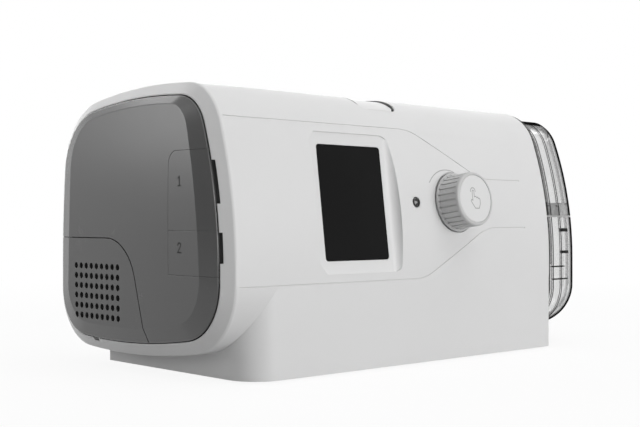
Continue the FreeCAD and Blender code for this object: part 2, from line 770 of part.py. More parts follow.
def bezel_cut():
    """The display's recess: a flat floor, clipped corners on the left and a swept wall on the right."""
    left = window_x - half_window - S.bezel_left
    floor_right = window_x + half_window + S.bezel_right
    right = floor_right + S.bezel_sweep
    low = window_low - S.bezel_bottom
    high = window_high + S.bezel_top
    clip = S.bezel_clip
    corners = (
        (left, low + clip),
        (left + clip, low),
        (right, low),
        (right, high),
        (left + clip, high),
        (left, high - clip),
    )
    edge = Part.makePolygon([vec(x, S.bezel_deep, z) for x, z in corners + corners[:1]])
    bound = prism(edge, vec(0, -far, 0))
    bound = fillet(bound, S.bezel_corner, lambda e: corner_post(e, right) and lies_at(e, "Z", high))
    bound = fillet(bound, S.bezel_low_corner, lambda e: corner_post(e, right) and lies_at(e, "Z", low))
    floor = block((left, floor_right), (-far, S.bezel_deep), (low, high))
    sweep = (S.bezel_sweep * S.bezel_sweep + S.bezel_deep * S.bezel_deep) / (2 * S.bezel_deep)
    start = vec(floor_right, S.bezel_deep - sweep, low)
    scoop = rod(sweep, start, vec(floor_right, S.bezel_deep - sweep, high))
    return leaned(floor.fuse(scoop).common(bound))


def corner_post(edge, x):
    """Whether an edge runs front to back at x."""
    return lies_at(edge, "X", x) and edge.BoundBox.YLength > edge.BoundBox.ZLength


def window_opening():
    """The hole for the display window, in the front frame."""
    play = S.fit_gap / 2
    across = (window_x - half_window - play, window_x + half_window + play)
    up = (window_low - play, window_high + play)
    return prism(soft_rectangle(on_y(0), across, up, [S.window_corner] * 4), vec(0, S.board_deep, 0))


def zone_grooves(outer):
    """The two moulded lines that bound the front zone, cut only into the skin."""
    skin = outer.cut(slab(S.line_deep, rim_x - far, end_x + far))
    stations = [rim_x + size for size in (S.zone_start, S.zone_shoulder, S.zone_neck, S.zone_end)]
    grooves = []
    for sign in (1, -1):
        tall = sign * S.zone_half_tall - S.zone_drop
        low = sign * S.zone_half_low - S.zone_drop
        corners = [vec(x, -far / 2, z) for x, z in zip(stations, (tall, tall, low, low))]
        path = bent_path(corners, S.zone_bend)
        band = path.makeOffset2D(float(S.line_width / 2), 0, True, False)
        grooves.append(leaned(band.extrude(vec(0, far, 0))).common(skin))
    return grooves


def front_backing():
    """Thicker wall behind the display's recess and the dial's seat, and the main board's posts."""
    left = window_x - half_window - S.bezel_left - S.wall
    right = window_x + half_window + S.bezel_right + S.bezel_sweep + S.wall
    low = window_low - S.bezel_bottom - S.wall
    high = window_high + S.bezel_top + S.wall
    parts = [block((left, right), (0, backing), (low, high))]
    seat_back = S.dial_seat + S.wall
    parts.append(rod(S.dial_seat_radius + S.wall / 2, vec(dial_x, 0, 0), vec(dial_x, seat_back, 0)))
    for x, z in board_posts():
        parts.append(rod(S.post_radius, vec(x, 0, z), vec(x, S.board_deep, z)))
    return [leaned(part) for part in parts]


def board_posts():
    """Where the main board stands on posts, in the front frame."""
    inward = S.post_radius + S.wall
    left, right = board_ends()
    low = -S.board_low + inward
    high = S.board_high - inward
    return ((left + inward, low), (right - inward, low), (right - inward, high))


def board_ends():
    """Left and right ends of the main board."""
    return window_x - half_window - S.bezel_left - S.board_beyond, dial_x + S.dial_seat_radius


def notch(zs):
    """A finger notch in the front side of the rim."""
    ring = rim_slab(S.rim_width - S.notch_deep, rim_x - S.seam, rim_x + S.rim_lip / 2)
    return ring.common(block((rim_x - far, end_x), (front_y, mid_y), zs))


def rim_notches():
    upper_top = door_high_z - S.notch_upper_top
    lower_top = door_split_z - S.notch_lower_top
    ring = rim_slab(S.rim_width - S.notch_deep, rim_x - S.seam, rim_x + S.rim_lip / 2)
    cover_y = back_y - S.notch_cover_back
    below = block((rim_x - far, end_x), (cover_y - S.notch_cover, cover_y), (0, middle_z))
    return [notch((upper_top - S.notch_upper, upper_top)), notch((lower_top - S.notch_lower, lower_top)),
            ring.common(below)]


def main_housing():
    outer = sleeve_solid()
    foot = prism(foot_outline(0, base_low_z), vec(0, 0, foot_top_z - base_low_z))
    outer = outer.fuse(foot).removeSplitter()
    hollow = slab(S.wall, lip_x, end_x + far).fuse(rim_slab(S.rim_width, rim_x - far, end_x))
    well = prism(foot_outline(S.wall, -far), vec(0, 0, far + foot_top_z))
    shell = outer.cut(hollow.fuse(well))
    inside = slab(S.wall / 2, lip_x, end_x)
    shell = shell.fuse([part.common(inside) for part in front_backing()])
    bosses = [rod(S.boss_radius, vec(x, y, base_top_z), vec(x, y, S.case_floor)) for x, y in boss_places()]
    shell = shell.fuse(bosses)
    cuts = [bezel_cut()]
    cuts += zone_grooves(outer)
    cuts += rim_notches()
    cuts.append(leaned(window_opening()))
    cuts.append(front_bore(dial_x, S.dial_seat_radius, S.dial_seat))
    cuts.append(front_bore(dial_x, S.shaft_radius + S.fit_gap, S.board_deep))
    cuts.append(front_bore(sensor_x, S.sensor_radius + S.fit_gap / 2, S.board_deep, -S.sensor_drop))
    around = button_prism(S.button_margin)
    cuts.append(around.common(outer.cut(slab(S.button_recess, lip_x, end_x))).common(upper_space()))
    cuts.append(button_prism(S.seam).common(upper_space()))
    cuts.append(back_bore(outlet_hole, outlet_x, port_z))
    cuts.append(back_bore(S.jack_radius + S.fit_gap / 2, jack_x, S.jack_height))
    for x, y in boss_places():
        cuts.append(rod(S.screw_radius, vec(x, y, 0), vec(x, y, screw_tip_z)))
    return shell.cut(cuts)


outlet_hole = S.outlet_radius + S.outlet_collar + S.fit_gap / 2


def front_bore(x, radius, depth, rise=0):
    """A round hole into the leaning front, at a rise from the dial's axis."""
    return leaned(rod(radius, vec(x, -far, rise), vec(x, depth, rise)))


def back_bore(radius, x, z):
    """A round hole through the back wall."""
    return rod(radius, vec(x, outlet_start_y, z), vec(x, back_y + far, z))


def upper_space():
    """The half of space above the middle of the sleeve."""
    return block((-far * 2, far * 2), (-far * 2, far * 2), (middle_z, middle_z + far))


def bottom_cover():
    """The plate under the foot, with counterbores, recesses for the feet and the power board's posts."""
    plate = prism(foot_outline(S.wall + S.fit_gap, base_low_z), vec(0, 0, S.cover_thick))
    posts = [rod(S.post_radius, vec(x, y, base_low_z), vec(x, y, power_board_z)) for x, y in power_posts()]
    plate = plate.fuse(posts)
    cuts = []
    for x, y in boss_places():
        head_top = base_low_z + S.cover_thick / 2
        cuts.append(rod(S.screw_radius + S.fit_gap / 2, vec(x, y, 0), vec(x, y, floor_z)))
        cuts.append(rod(S.screw_head + S.fit_gap / 2, vec(x, y, 0), vec(x, y, head_top)))
    for x, y in pad_places():
        cuts.append(rod(S.pad_radius, vec(x, y, 0), vec(x, y, S.pad_height)))
    return plate.cut(cuts)


# ---------------------------------------------------------------- end panel, its doors and its cover
def panel_block(grown):
    """The outside of the end panel, moved in by grown: straight edge, bevel and crowned face."""
    step = rim_x - S.panel_edge + grown
    inset = panel_inset + grown
    side = S.panel_bevel_side
    face_inset = inset + S.panel_bevel
    face = sleeve_outline(face_inset, panel_x + grown, side, side + S.rim_behind, S.panel_bevel_low)
    bevel = Part.makeLoft([face, rim_outline(inset, step)], True, True)
    solid = rim_slab(inset, step, flange_x).fuse(bevel).removeSplitter()
    axis_x = panel_x + S.panel_crown
    ends = [vec(axis_x, y, middle_z) for y in (front_y - far, back_y + far)]
    return solid.common(rod(S.panel_crown - grown, *ends))


def panel_pan():
    """The end panel's skin, edges rounded, before its openings are cut."""
    outside = panel_block(0)
    step = rim_x - S.panel_edge
    outside = fillet(outside, S.rim_edge, lambda edge: lies_at(edge, "X", step))
    face_end = float(step - S.rim_edge)
    outside = fillet(outside, S.rim_round, lambda edge: edge.BoundBox.XMax < face_end)
    return outside.cut(panel_block(S.panel_wall))


def door_region(low, high, grown, corner):
    """The space of a port door; its inner corners take the given radius."""
    ends = (front_y - far, hinge_y + grown)
    sharp = S.fit_gap
    radii = (sharp, sharp, corner, sharp)
    outline = soft_rectangle(on_x(panel_x - far), ends, (low - grown, high + grown), radii)
    return prism(outline, vec(far + door_stop_x - panel_x, 0, 0))


def cover_region(grown):
    """The space of the filter cover: a slanted front edge, one round corner and a level top."""
    lean = math.tan(math.radians(float(S.cover_slant)))
    top = float(cover_high_z + grown)
    edge_y = float(cover_front_y - grown)
    bottom = float(S.case_floor - S.wall)
    x = float(panel_x - far)
    foot_point = vec(x, edge_y - lean * (top - bottom), bottom)
    top_point = vec(x, back_y + S.wall, top)
    low_point = vec(x, back_y + S.wall, bottom)
    path = bent_path([foot_point, vec(x, edge_y, top), top_point], S.cover_corner)
    closing = [line_edge(top_point, low_point), line_edge(low_point, foot_point)]
    return prism(Part.Wire(path.Edges + closing), vec(far + door_stop_x - panel_x, 0, 0))


cover_front_y = back_y - S.cover_width
half_seam = S.seam / 2
half_door_seam = S.door_seam / 2


def end_panel():
    flange = slab(S.wall + S.fit_gap, lip_x, flange_x).cut(rim_slab(panel_hollow, rim_x, end_x))
    pan = panel_pan().fuse(flange)
    inner_y = hinge_y + half_seam
    outer_y = inner_y + S.tray_wall
    plate = block((rim_x, port_plate_x), (front_y, outer_y), plate_span())
    sill = block((panel_x, port_plate_x), (inner_y, outer_y), plate_span())
    ledges = [block((panel_x, port_plate_x), (front_y, outer_y), zs) for zs in ledge_spans()]
    inner = panel_block(S.panel_wall / 2)
    pan = pan.fuse([part.common(inner) for part in [plate, sill] + ledges])
    posts = [rod(S.post_radius / 2, vec(rim_x, y, z), vec(socket_board_x, y, z)) for y, z in port_posts()]
    pan = pan.fuse(posts)
    cuts = [door_region(door_low_z, door_split_z, half_door_seam, S.fit_gap)]
    cuts.append(door_region(door_split_z, door_high_z, half_door_seam, S.door_corner))
    cuts.append(cover_region(half_seam))
    cuts += [socket_block(S.door_seam, *socket) for socket in sockets()]
    return pan.cut(cuts)


def plate_span():
    return door_low_z - S.panel_wall, door_high_z + S.panel_wall


def ledge_spans():
    """Heights of the two walls that close the port bay above and below."""
    below = door_low_z - half_seam
    above = door_high_z + half_seam
    return (below - S.tray_wall, below), (above, above + S.tray_wall)


def port_posts():
    """Where the socket board's two posts stand."""
    return (ports_y, door_split_z + S.post_radius / 2), (ports_y, door_low_z + S.post_radius)


def sockets():
    """Each socket's height above the table, width and height."""
    return (
        (S.usb_height, S.usb_width, S.usb_tall),
        (S.card_height, S.card_width, S.card_tall),
        (S.data_height, S.data_width, S.data_tall),
    )


def socket_block(grown, height, width, tall):
    xs = (rim_x - S.seam, socket_board_x)
    return block(xs, (ports_y - width / 2 - grown, ports_y + width / 2 + grown),
                 (height - tall / 2 - grown, height + tall / 2 + grown))


def door(low, high, corner):
    return panel_pan().common(door_region(low, high, -half_door_seam, corner))


def filter_cover():
    """The cover over the air filter, with its grille of holes."""
    cover = panel_pan().common(cover_region(-half_seam))
    holes = []
    last_y = back_y - S.grille_back
    first_z = S.case_floor + S.grille_low
    for column in range(int(float(S.grille_columns))):
        for row in range(int(float(S.grille_rows))):
            y = last_y - S.grille_pitch_across * column
            z = first_z + S.grille_pitch_up * row
            holes.append(rod(S.grille_hole / 2, vec(panel_x - S.wall, y, z), vec(rim_x, y, z)))
    return cover.cut(holes)


def tray_room(grown, start, end):
    """Room behind the filter cover, inside the end panel, moved in by grown."""
    room = rim_slab(panel_hollow + S.fit_gap + grown, start, end)
    return room.common(block((start, end), (cover_front_y + grown, back_y), (0, cover_high_z - grown)))


def filter_tray():
    hollow = tray_room(S.tray_wall, tray_x - far, tray_back_x - S.tray_wall)
    return tray_room(0, tray_x, tray_back_x).cut([hollow, axle(S.inlet_radius, tray_x, volute_x)])


def inlet_filter():
    return tray_room(S.tray_wall + S.fit_gap, tray_x, tray_back_x - S.tray_wall)


# ---------------------------------------------------------------- blower
def axle(radius, start, end):
    """A round bar on the blower's axis."""
    return rod(radius, vec(start, blower_y, S.blower_z), vec(end, blower_y, S.blower_z))


stub_top_z = port_z - S.duct_bend - S.fit_gap


def volute():
    """The blower's spiral housing with its inlet, its outlet stub and its feet."""
    wall = S.blower_wall
    stub_start = vec(volute_mid_x, port_in_y, S.blower_z)
    stub_end = vec(volute_mid_x, port_in_y, stub_top_z)
    outside = axle(S.blower_radius, volute_x, volute_end_x).fuse(rod(duct_outside, stub_start, stub_end))
    feet = []
    for y in (blower_y - S.mount_spread, blower_y + S.mount_spread):
        ys = (y - S.mount_radius, y + S.mount_radius)
        feet.append(block((volute_x, volute_end_x), ys, (foot_pad_z, S.blower_z - S.impeller_radius)))
    outside = outside.fuse(feet)
    chamber = axle(S.blower_radius - wall, volute_x + wall, volute_end_x - wall)
    chamber = chamber.fuse(rod(S.port_radius, stub_start, stub_end + vec(0, 0, wall)))
    shaft_hole = S.motor_shaft + S.fit_gap * 2
    chamber = chamber.fuse([axle(S.inlet_radius, volute_x - wall, volute_mid_x),
                            axle(shaft_hole, volute_mid_x, volute_end_x + wall)])
    return outside.cut(chamber)


foot_pad_z = S.blower_z - S.blower_radius - S.fit_gap


def volute_half(start, end):
    return volute().common(block((start, end), (front_y, back_y), (0, S.case_height)))


def blade(turn):
    """One backward-curved blade, standing on the impeller's plate."""
    hub = S.hub_radius
    rim = S.impeller_radius - S.blower_wall / 2
    tip = S.impeller_radius * S.blade_sweep
    points = [vec(0, hub, 0), vec(0, (hub + rim) / 2, tip / 2 - S.blower_wall), vec(0, rim, tip)]
    curve = Part.Arc(*points).toShape()
    band = Part.Wire(curve).makeOffset2D(float(S.blade_thick / 2), 0, True, False)
    solid = band.extrude(vec(impeller_tip_x - impeller_plate_x, 0, 0))
    solid.translate(vec(impeller_plate_x, 0, 0))
    solid.rotate(vec(0, 0, 0), vec(1, 0, 0), turn)
    solid.translate(vec(0, blower_y, S.blower_z))
    return solid


impeller_back_x = volute_end_x - S.blower_wall - S.impeller_gap
impeller_plate_x = impeller_back_x - S.blower_wall
impeller_tip_x = volute_x + S.blower_wall + S.impeller_gap


def impeller():
    plate = axle(S.impeller_radius, impeller_plate_x, impeller_back_x)
    hub = axle(S.hub_radius, impeller_tip_x + S.impeller_gap, impeller_back_x)
    count = int(float(S.impeller_blades))
    bore = axle(S.motor_shaft, impeller_tip_x, impeller_back_x + S.wall)
    return plate.fuse([hub] + [blade(360 * i / count) for i in range(count)]).cut(bore)


# ---------------------------------------------------------------- humidifier
def duct_line(points, bend):
    """A round duct of the ports' bore along a bent path."""
    return pipe(points, bend, duct_outside).cut(pipe(points, bend, S.port_radius))


def air_duct():
    """Blower outlet to the bulkhead: up, then along the sleeve under the roof."""
    corner = vec(volute_mid_x, port_in_y, port_z)
    return duct_line([vec(volute_mid_x, port_in_y, stub_top_z), corner,
                      vec(bulkhead_x, port_in_y, port_z)], S.duct_bend - S.fit_gap)


def outlet_duct():
    """Bulkhead to the outlet at the back."""
    corner = vec(outlet_x, port_out_y, port_z)
    return duct_line([vec(bulkhead_x, port_out_y, port_z), corner,
                      vec(outlet_x, outlet_start_y, port_z)], S.duct_bend - S.fit_gap)


outlet_start_y = port_out_y + S.duct_bend + S.wall


def outlet_port():
    """The air outlet: a tube with a collar through the back wall and a flange inside it."""
    start = vec(outlet_x, outlet_start_y, port_z)
    tube = rod(S.outlet_radius, start, vec(outlet_x, back_y + S.outlet_proud, port_z))
    collar = rod(S.outlet_radius + S.outlet_collar, start, vec(outlet_x, collar_end_y, port_z))
    flange = rod(S.outlet_radius + S.outlet_flange, start, vec(outlet_x, back_y, port_z))
    skin = slab(S.wall, lip_x, end_x).cut(slab(S.wall * 2, lip_x - far, end_x + far))
    bore = rod(S.port_radius, start, vec(outlet_x, back_y + far, port_z))
    return tube.fuse([collar, flange.common(skin)]).cut(bore)


collar_end_y = back_y + S.outlet_proud - S.outlet_grip


def port_hole(radius, y, start, end):
    return rod(radius, vec(start, y, port_z), vec(end, y, port_z))


def humidifier_bay():
    """The liner of the tank's bay, with the bulkhead that carries the two air ports."""
    outside = slab(S.wall + S.fit_gap, bulkhead_x, end_x - S.seam)
    outside = between(outside, bay_floor_z - S.wall, S.case_height)
    cuts = [between(slab(S.tank_inset - S.bay_clear, bay_x, end_x + far), bay_floor_z, S.case_height)]
    for y in (port_in_y, port_out_y):
        cuts.append(port_hole(S.port_radius, y, bulkhead_x - far, bay_x))
        cuts.append(port_hole(S.port_radius + S.seal_width, y, bay_x - S.seal_sink, bay_x))
    cuts.append(block(heater_xs(S.fit_gap), heater_ys(S.fit_gap), (0, tank_floor_z)))
    return outside.cut(cuts)


def heater_xs(grown):
    middle = bay_x + S.heater_from_bulkhead + S.heater_length / 2
    return middle - S.heater_length / 2 - grown, middle + S.heater_length / 2 + grown


def heater_ys(grown):
    return mid_y - S.heater_width / 2 - grown, mid_y + S.heater_width / 2 + grown


def port_seals():
    rings = []
    for y in (port_in_y, port_out_y):
        ring = port_hole(S.port_radius + S.seal_width, y, bay_x - S.seal_sink, tank_x - S.seal_gap)
        rings.append(ring.cut(port_hole(S.port_radius, y, bulkhead_x, end_x)))
    return Part.makeCompound(rings)


def tank_end(grown):
    """The tank outside the sleeve, moved in by grown: rounded in plan, at its top and at its floor."""
    start = end_x + S.bay_clear + grown
    right = tank_end_x - grown
    inset = S.tank_end_inset + grown
    low = S.tank_low + grown
    top = S.case_height - inset
    solid = prism(tank_section(inset - S.running_fit, start, low, top), vec(right - start, 0, 0))
    solid = fillet(solid, S.tank_plan_corner - grown, lambda e: lies_at(e, "X", right) and upright(e))
    for level, size in ((top, S.tank_top_round - grown), (low, S.tank_low_round - grown)):
        solid = fillet(solid, size, lambda e: lies_at(e, "Z", level) and not lies_at(e, "X", start))
    upper = slab(inset, start, tank_end_x)
    lower = block((start, tank_end_x), (front_y + inset, back_y - inset), (low, foot_top_z))
    solid = solid.common(upper.fuse(lower))
    if grown:
        return solid
    collar = slab(S.tank_collar_inset, start, start + S.tank_collar)
    return solid.fuse(between(collar, foot_top_z, S.case_height))


def tank_section(inset, x, low, top):
    """Flat floor and top, upright sides below the widest line and walls that lean as the sleeve's do."""
    belly = float(S.belly_height)
    sides = []
    for sign in (-1, 1):
        wall = side_radii(sign)[0]
        reach = wall - float(inset)
        points = []
        for up in (belly, (belly + float(top)) / 2, float(top)):
            across = float(S.case_depth / 2) - wall + math.sqrt(reach * reach - (up - belly) ** 2)
            points.append(vec(x, float(mid_y) + sign * across, up))
        sides.append(points)
    front, back = sides
    feet = (vec(x, front[0].y, low), vec(x, back[0].y, low))
    edges = [line_edge(feet[0], front[0]), Part.Arc(*front).toShape(), line_edge(front[2], back[2]),
             Part.Arc(*back[::-1]).toShape(), line_edge(back[0], feet[1]), line_edge(feet[1], feet[0])]
    return Part.Wire(edges)


def upright(edge):
    return edge.BoundBox.ZLength > edge.BoundBox.YLength


def tank_block(grown):
    """The outside of the closed tank, moved in by grown."""
    inner = slab(S.tank_inset + grown, tank_x + grown, end_x + S.bay_clear + grown + S.seam)
    inner = between(inner, tank_floor_z + grown, S.case_height)
    return inner.fuse(tank_end(grown)).removeSplitter()


def between(shape, low, high):
    """The part of a shape between two heights."""
    return shape.common(block((rim_x, tank_end_x + far), (front_y, back_y), (low, high)))


def tank_tub():
    """The clear lower half of the tank, open above, with a hole for the heat plate."""
    shell = tank_block(0).cut(tank_block(S.tank_wall))
    tub = between(shell, 0, S.tank_split)
    return tub.cut(block(heater_xs(S.tank_wall), heater_ys(S.tank_wall), (0, S.tank_split)).common(
        block((rim_x, end_x), (front_y, back_y), (0, tank_floor_z + S.tank_wall))))


def tank_lid():
    """The clear upper half of the tank, with the two air ports."""
    shell = tank_block(0).cut(tank_block(S.tank_wall))
    lid = between(shell, lid_z, S.case_height)
    half_wall = S.tank_wall / 2
    for y in (port_in_y, port_out_y):
        lid = lid.fuse(port_hole(S.port_radius + half_wall, y, tank_x, tank_x + S.spigot_length))
        lid = lid.cut(port_hole(S.port_radius - half_wall, y, rim_x, end_x))
    return lid


def tank_seal():
    """The silicone seal that the lid carries: a flat lip on the tub and a band inside the lid."""
    low = S.tank_split + S.running_fit
    lip = between(tank_block(0).cut(tank_block(S.tank_wall + S.tank_flange)), low, lid_z)
    band = tank_block(S.tank_wall).cut(tank_block(S.tank_wall + S.tank_flange))
    return lip.fuse(between(band, lid_z, lid_z + S.seal_height)).removeSplitter()


def acoustic_foam():
    """Foam under the roof, above the air ducts."""
    low = port_z + duct_outside + S.fit_gap
    ys = (front_y + S.foam_from_front, port_out_y + S.port_radius)
    room = slab(S.wall + S.fit_gap, volute_x, bulkhead_x - S.fit_gap)
    return room.common(block((volute_x, bulkhead_x), ys, (low, S.case_height)))


# ---------------------------------------------------------------- start button
def start_button():
    """A curved key that follows the shoulder, with a stem along its press axis."""
    skin = slab(S.button_sink, lip_x, end_x).cut(slab(S.button_sink + S.wall, lip_x - far, end_x + far))
    key = skin.common(button_prism(0)).common(upper_space())
    half = S.button_stem / 2
    stem = button_frame(block((-half, half), (-half, half), (stem_low, 0)))
    return key.fuse(stem.common(slab(S.button_sink + S.wall / 2, lip_x, end_x))).removeSplitter()


def button_gasket():
    """A rubber ring in the recess round the button."""
    low = S.gasket_sink + S.gasket_thick
    skin = slab(S.gasket_sink, lip_x, end_x).cut(slab(low, lip_x - far, end_x + far))
    ring = button_prism(S.button_margin - S.running_fit).cut(button_prism(S.seam))
    return skin.common(ring).common(upper_space())


stem_low = -S.stem_deep
switch_top = stem_low - S.button_travel - S.fit_gap / 2
switch_low = switch_top - S.switch_height
bracket_low = switch_low - S.board_thick


def switch_bracket():
    """A strap under the roof that holds the push switch below the button's stem."""
    half = S.button_width / 2 + S.button_margin
    strap = S.switch_size / 2 + S.wall
    width = half + S.wall
    outside = button_frame(block((-width, width), (-strap, strap), (bracket_low - S.wall, far)))
    inside = button_frame(block((-half, half), (-far, far), (bracket_low, far)))
    return outside.common(slab(S.wall, lip_x, end_x)).common(upper_space()).cut(inside)


# ---------------------------------------------------------------- pieces turned or built from primitives
def rubber_feet():
    feet = []
    radius = S.pad_radius
    high = S.pad_height
    for i, (x, y) in enumerate(pad_places()):
        corners = ((0.0, 0.0), (radius - S.pad_bevel, 0.0), (radius, S.pad_bevel), (radius, high),
                   (0.0, high))
        feet.append(put(turned(f"foot_{i}", corners), x, y, 0.0))
    return fuse("feet", *feet)


def base_screws():
    """Four pan-head screws with a hexagon socket, from below into the bosses."""
    screws = []
    head_top = S.cover_thick / 2
    tip = screw_tip_z - base_low_z - S.fit_gap
    for i, (x, y) in enumerate(boss_places()):
        corners = ((0.0, 0.0), (S.screw_head, 0.0), (S.screw_head, head_top), (S.screw_radius, head_top),
                   (S.screw_radius, tip - S.screw_radius / 2), (S.screw_radius / 2, tip), (0.0, tip))
        screw = put(turned(f"screw_{i}", corners), x, y, base_low_z)
        hexagon = doc.addObject("Part::Prism", f"hexagon_{i}")
        hexagon.Polygon = 6
        bind(hexagon, Circumradius=S.screw_radius, Height=head_top * 2)
        put(hexagon, x, y, base_low_z - head_top)
        screws.append(cut(f"screw_cut_{i}", screw, hexagon))
    return fuse("screws", *screws)


def inlet_bellows():
    """A rubber sleeve with one fold, from the filter tray to the blower."""
    inner = S.inlet_radius
    outer = inner + S.blower_wall
    fold = outer + S.blower_wall
    third = S.bellows_length / 3
    corners = ((inner, 0.0), (outer, 0.0), (outer, third), (fold, third * 1.5), (outer, third * 2),
               (outer, S.bellows_length), (inner, S.bellows_length), (inner, third * 2),
               (inner + S.blower_wall, third * 1.5), (inner, third))
    return facing_x(turned("bellows", corners), tray_back_x, blower_y, S.blower_z)


motor_plate = S.bearing_width + S.fit_gap


def axle_bar(name, radius, start, end):
    return cylinder(name, radius, (blower_y, S.blower_z), (start, end), "x")


def motor_can():
    can = axle_bar("can", S.motor_radius, volute_end_x, motor_end_x - motor_plate)
    cavity = axle_bar("cavity", S.motor_radius - S.blower_wall, volute_end_x + motor_plate, motor_end_x)
    seat = axle_bar("front_seat", S.bearing_radius, volute_end_x - motor_plate, motor_end_x)
    return cut("motor_can_cut", can, cavity, seat)


def motor_cap():
    cap = axle_bar("cap", S.motor_radius, motor_end_x - motor_plate, motor_end_x)
    seat = axle_bar("rear_seat", S.bearing_radius, volute_end_x, motor_end_x + motor_plate)
    return cut("motor_cap_cut", cap, seat)


def motor_stator():
    ring = axle_bar("stator", S.motor_radius - S.blower_wall, *winding_xs)
    bore = axle_bar("stator_bore", S.rotor_radius + S.motor_gap, volute_end_x, motor_end_x)
    return cut("stator_cut", ring, bore)


winding_xs = (volute_end_x + motor_plate + S.motor_gap, motor_end_x - motor_plate - S.motor_gap)


def motor_rotor():
    ring = axle_bar("rotor", S.rotor_radius, *winding_xs)
    return cut("rotor_cut", ring, axle_bar("rotor_bore", S.motor_shaft, volute_end_x, motor_end_x))


def motor_bearings():
    bearings = []
    starts = (volute_end_x + S.fit_gap, motor_end_x - motor_plate)
    for i, start in enumerate(starts):
        ring = axle_bar(f"bearing_{i}", S.bearing_radius, start, start + S.bearing_width)
        radius = S.motor_shaft + S.running_fit
        bore = axle_bar(f"bearing_bore_{i}", radius, start - S.fit_gap, start + motor_plate)
        bearings.append(cut(f"bearing_cut_{i}", ring, bore))
    return fuse("bearings", *bearings)


def impeller_shaft():
    return axle_bar("shaft", S.motor_shaft, impeller_tip_x + S.impeller_gap, motor_end_x - S.fit_gap)


def blower_mounts():
    mounts = []
    for i, side in enumerate((-1, 1)):
        for j, end in enumerate((-1, 1)):
            centre = (volute_mid_x + end * S.mount_spread, blower_y + side * S.mount_spread)
            mounts.append(cylinder(f"mount_{i}{j}", S.mount_radius, centre, (base_top_z, foot_pad_z)))
    return fuse("mounts", *mounts)


def flow_sensor():
    xs = (bulkhead_x - S.sensor_from_bulkhead, bulkhead_x - S.sensor_from_bulkhead + S.sensor_length)
    ys = (port_in_y - duct_outside - S.sensor_height, port_in_y)
    half = S.sensor_tall / 2
    body = box("sensor_body", xs, ys, (port_z - half, port_z + half))
    saddle = cylinder("sensor_saddle", duct_outside, (port_in_y, port_z), xs, "x")
    return cut("sensor_cut", body, saddle)


def display_window():
    glass = box("glass", (window_x - half_window, window_x + half_window),
                (S.bezel_deep, S.bezel_deep + S.window_thick), (window_low, window_high))
    corner = rounded("glass_corners", glass, S.window_corner, lambda edge: edge.BoundBox.YLength > 1)
    return on_front(corner)


def display_module():
    play = S.fit_gap
    front = box("display_front", (window_x - half_window + play, window_x + half_window - play),
                (S.bezel_deep + S.window_thick, backing + play), (window_low + play, window_high - play))
    rear = box("display_rear", (window_x - half_window - S.wall, window_x + half_window + S.wall),
               (backing, S.board_deep), (window_low - S.wall, window_high + S.wall))
    return on_front(fuse("display_both", front, rear))


def main_board():
    ys = (S.board_deep, S.board_deep + S.board_thick)
    board = box("board", board_ends(), ys, (-S.board_low, S.board_high))
    chip = box("board_chip", (window_x, window_x + S.chip_size),
               (S.board_deep + S.board_thick / 2, S.board_deep + S.board_thick * 2), (0.0, S.chip_size))
    return on_front(fuse("board_both", board, chip))


def light_sensor():
    """A glossy dome on a light pipe that stands on the main board."""
    radius = S.sensor_radius
    step = S.board_thick - S.board_deep
    base = ((0.0, -S.board_deep), (radius * 2, -S.board_deep), (radius * 2, step), (radius, step))
    dome = ((radius, 0.0), (radius - S.sensor_dome / 2, S.sensor_dome / 2), (0.0, S.sensor_dome))
    return facing_out(turned("lens", base + dome), sensor_x, -S.sensor_drop)


def buzzer():
    back = S.board_deep + S.board_thick
    radius = S.buzzer_radius
    corners = ((0.0, -back - radius), (radius, -back - radius), (radius, -back), (0.0, -back))
    return facing_out(turned("buzzer_can", corners), sensor_x, -S.sensor_drop)


def encoder_body():
    low = -S.board_deep
    high = low + S.encoder_height
    half = S.encoder_size / 2
    neck_top = -(S.dial_seat + S.wall) - S.fit_gap
    body = box("encoder_case", (-half, half), (-half, half), (low, high))
    neck = cylinder("encoder_neck", S.encoder_neck, (0.0, 0.0), (low, neck_top))
    cavity = cylinder("encoder_cavity", S.plunger_radius + S.running_fit, (0.0, 0.0), (low * 2, cavity_top))
    bore = cylinder("encoder_bore", S.shaft_radius + S.running_fit, (0.0, 0.0), (low * 2, 0.0))
    return facing_out(cut("encoder_cut", fuse("encoder_solid", body, neck), cavity, bore), dial_x)


plunger_low = S.dial_travel + S.fit_gap - S.board_deep
plunger_top = plunger_low + S.plunger_thick
cavity_top = plunger_top + S.fit_gap


def encoder_plunger():
    """The part of the encoder that a push moves and a turn doesn't."""
    radius = S.plunger_radius
    corners = ((0.0, plunger_low), (radius, plunger_low), (radius, plunger_top), (0.0, plunger_top))
    return facing_out(turned("plunger", corners), dial_x)


cap_low = dial_front - S.cap_thick


def encoder_shaft():
    radius = S.shaft_radius
    corners = ((0.0, plunger_top), (radius, plunger_top), (radius, cap_low), (0.0, cap_low))
    return facing_out(turned("spindle", corners), dial_x)


def dial_cap():
    """The smooth disc set in the dial's face."""
    radius = S.cap_radius
    bevel = S.cap_bevel
    corners = ((0.0, cap_low), (radius, cap_low), (radius, dial_front - bevel),
               (radius - bevel, dial_front), (0.0, dial_front))
    return facing_out(turned("cap", corners), dial_x)


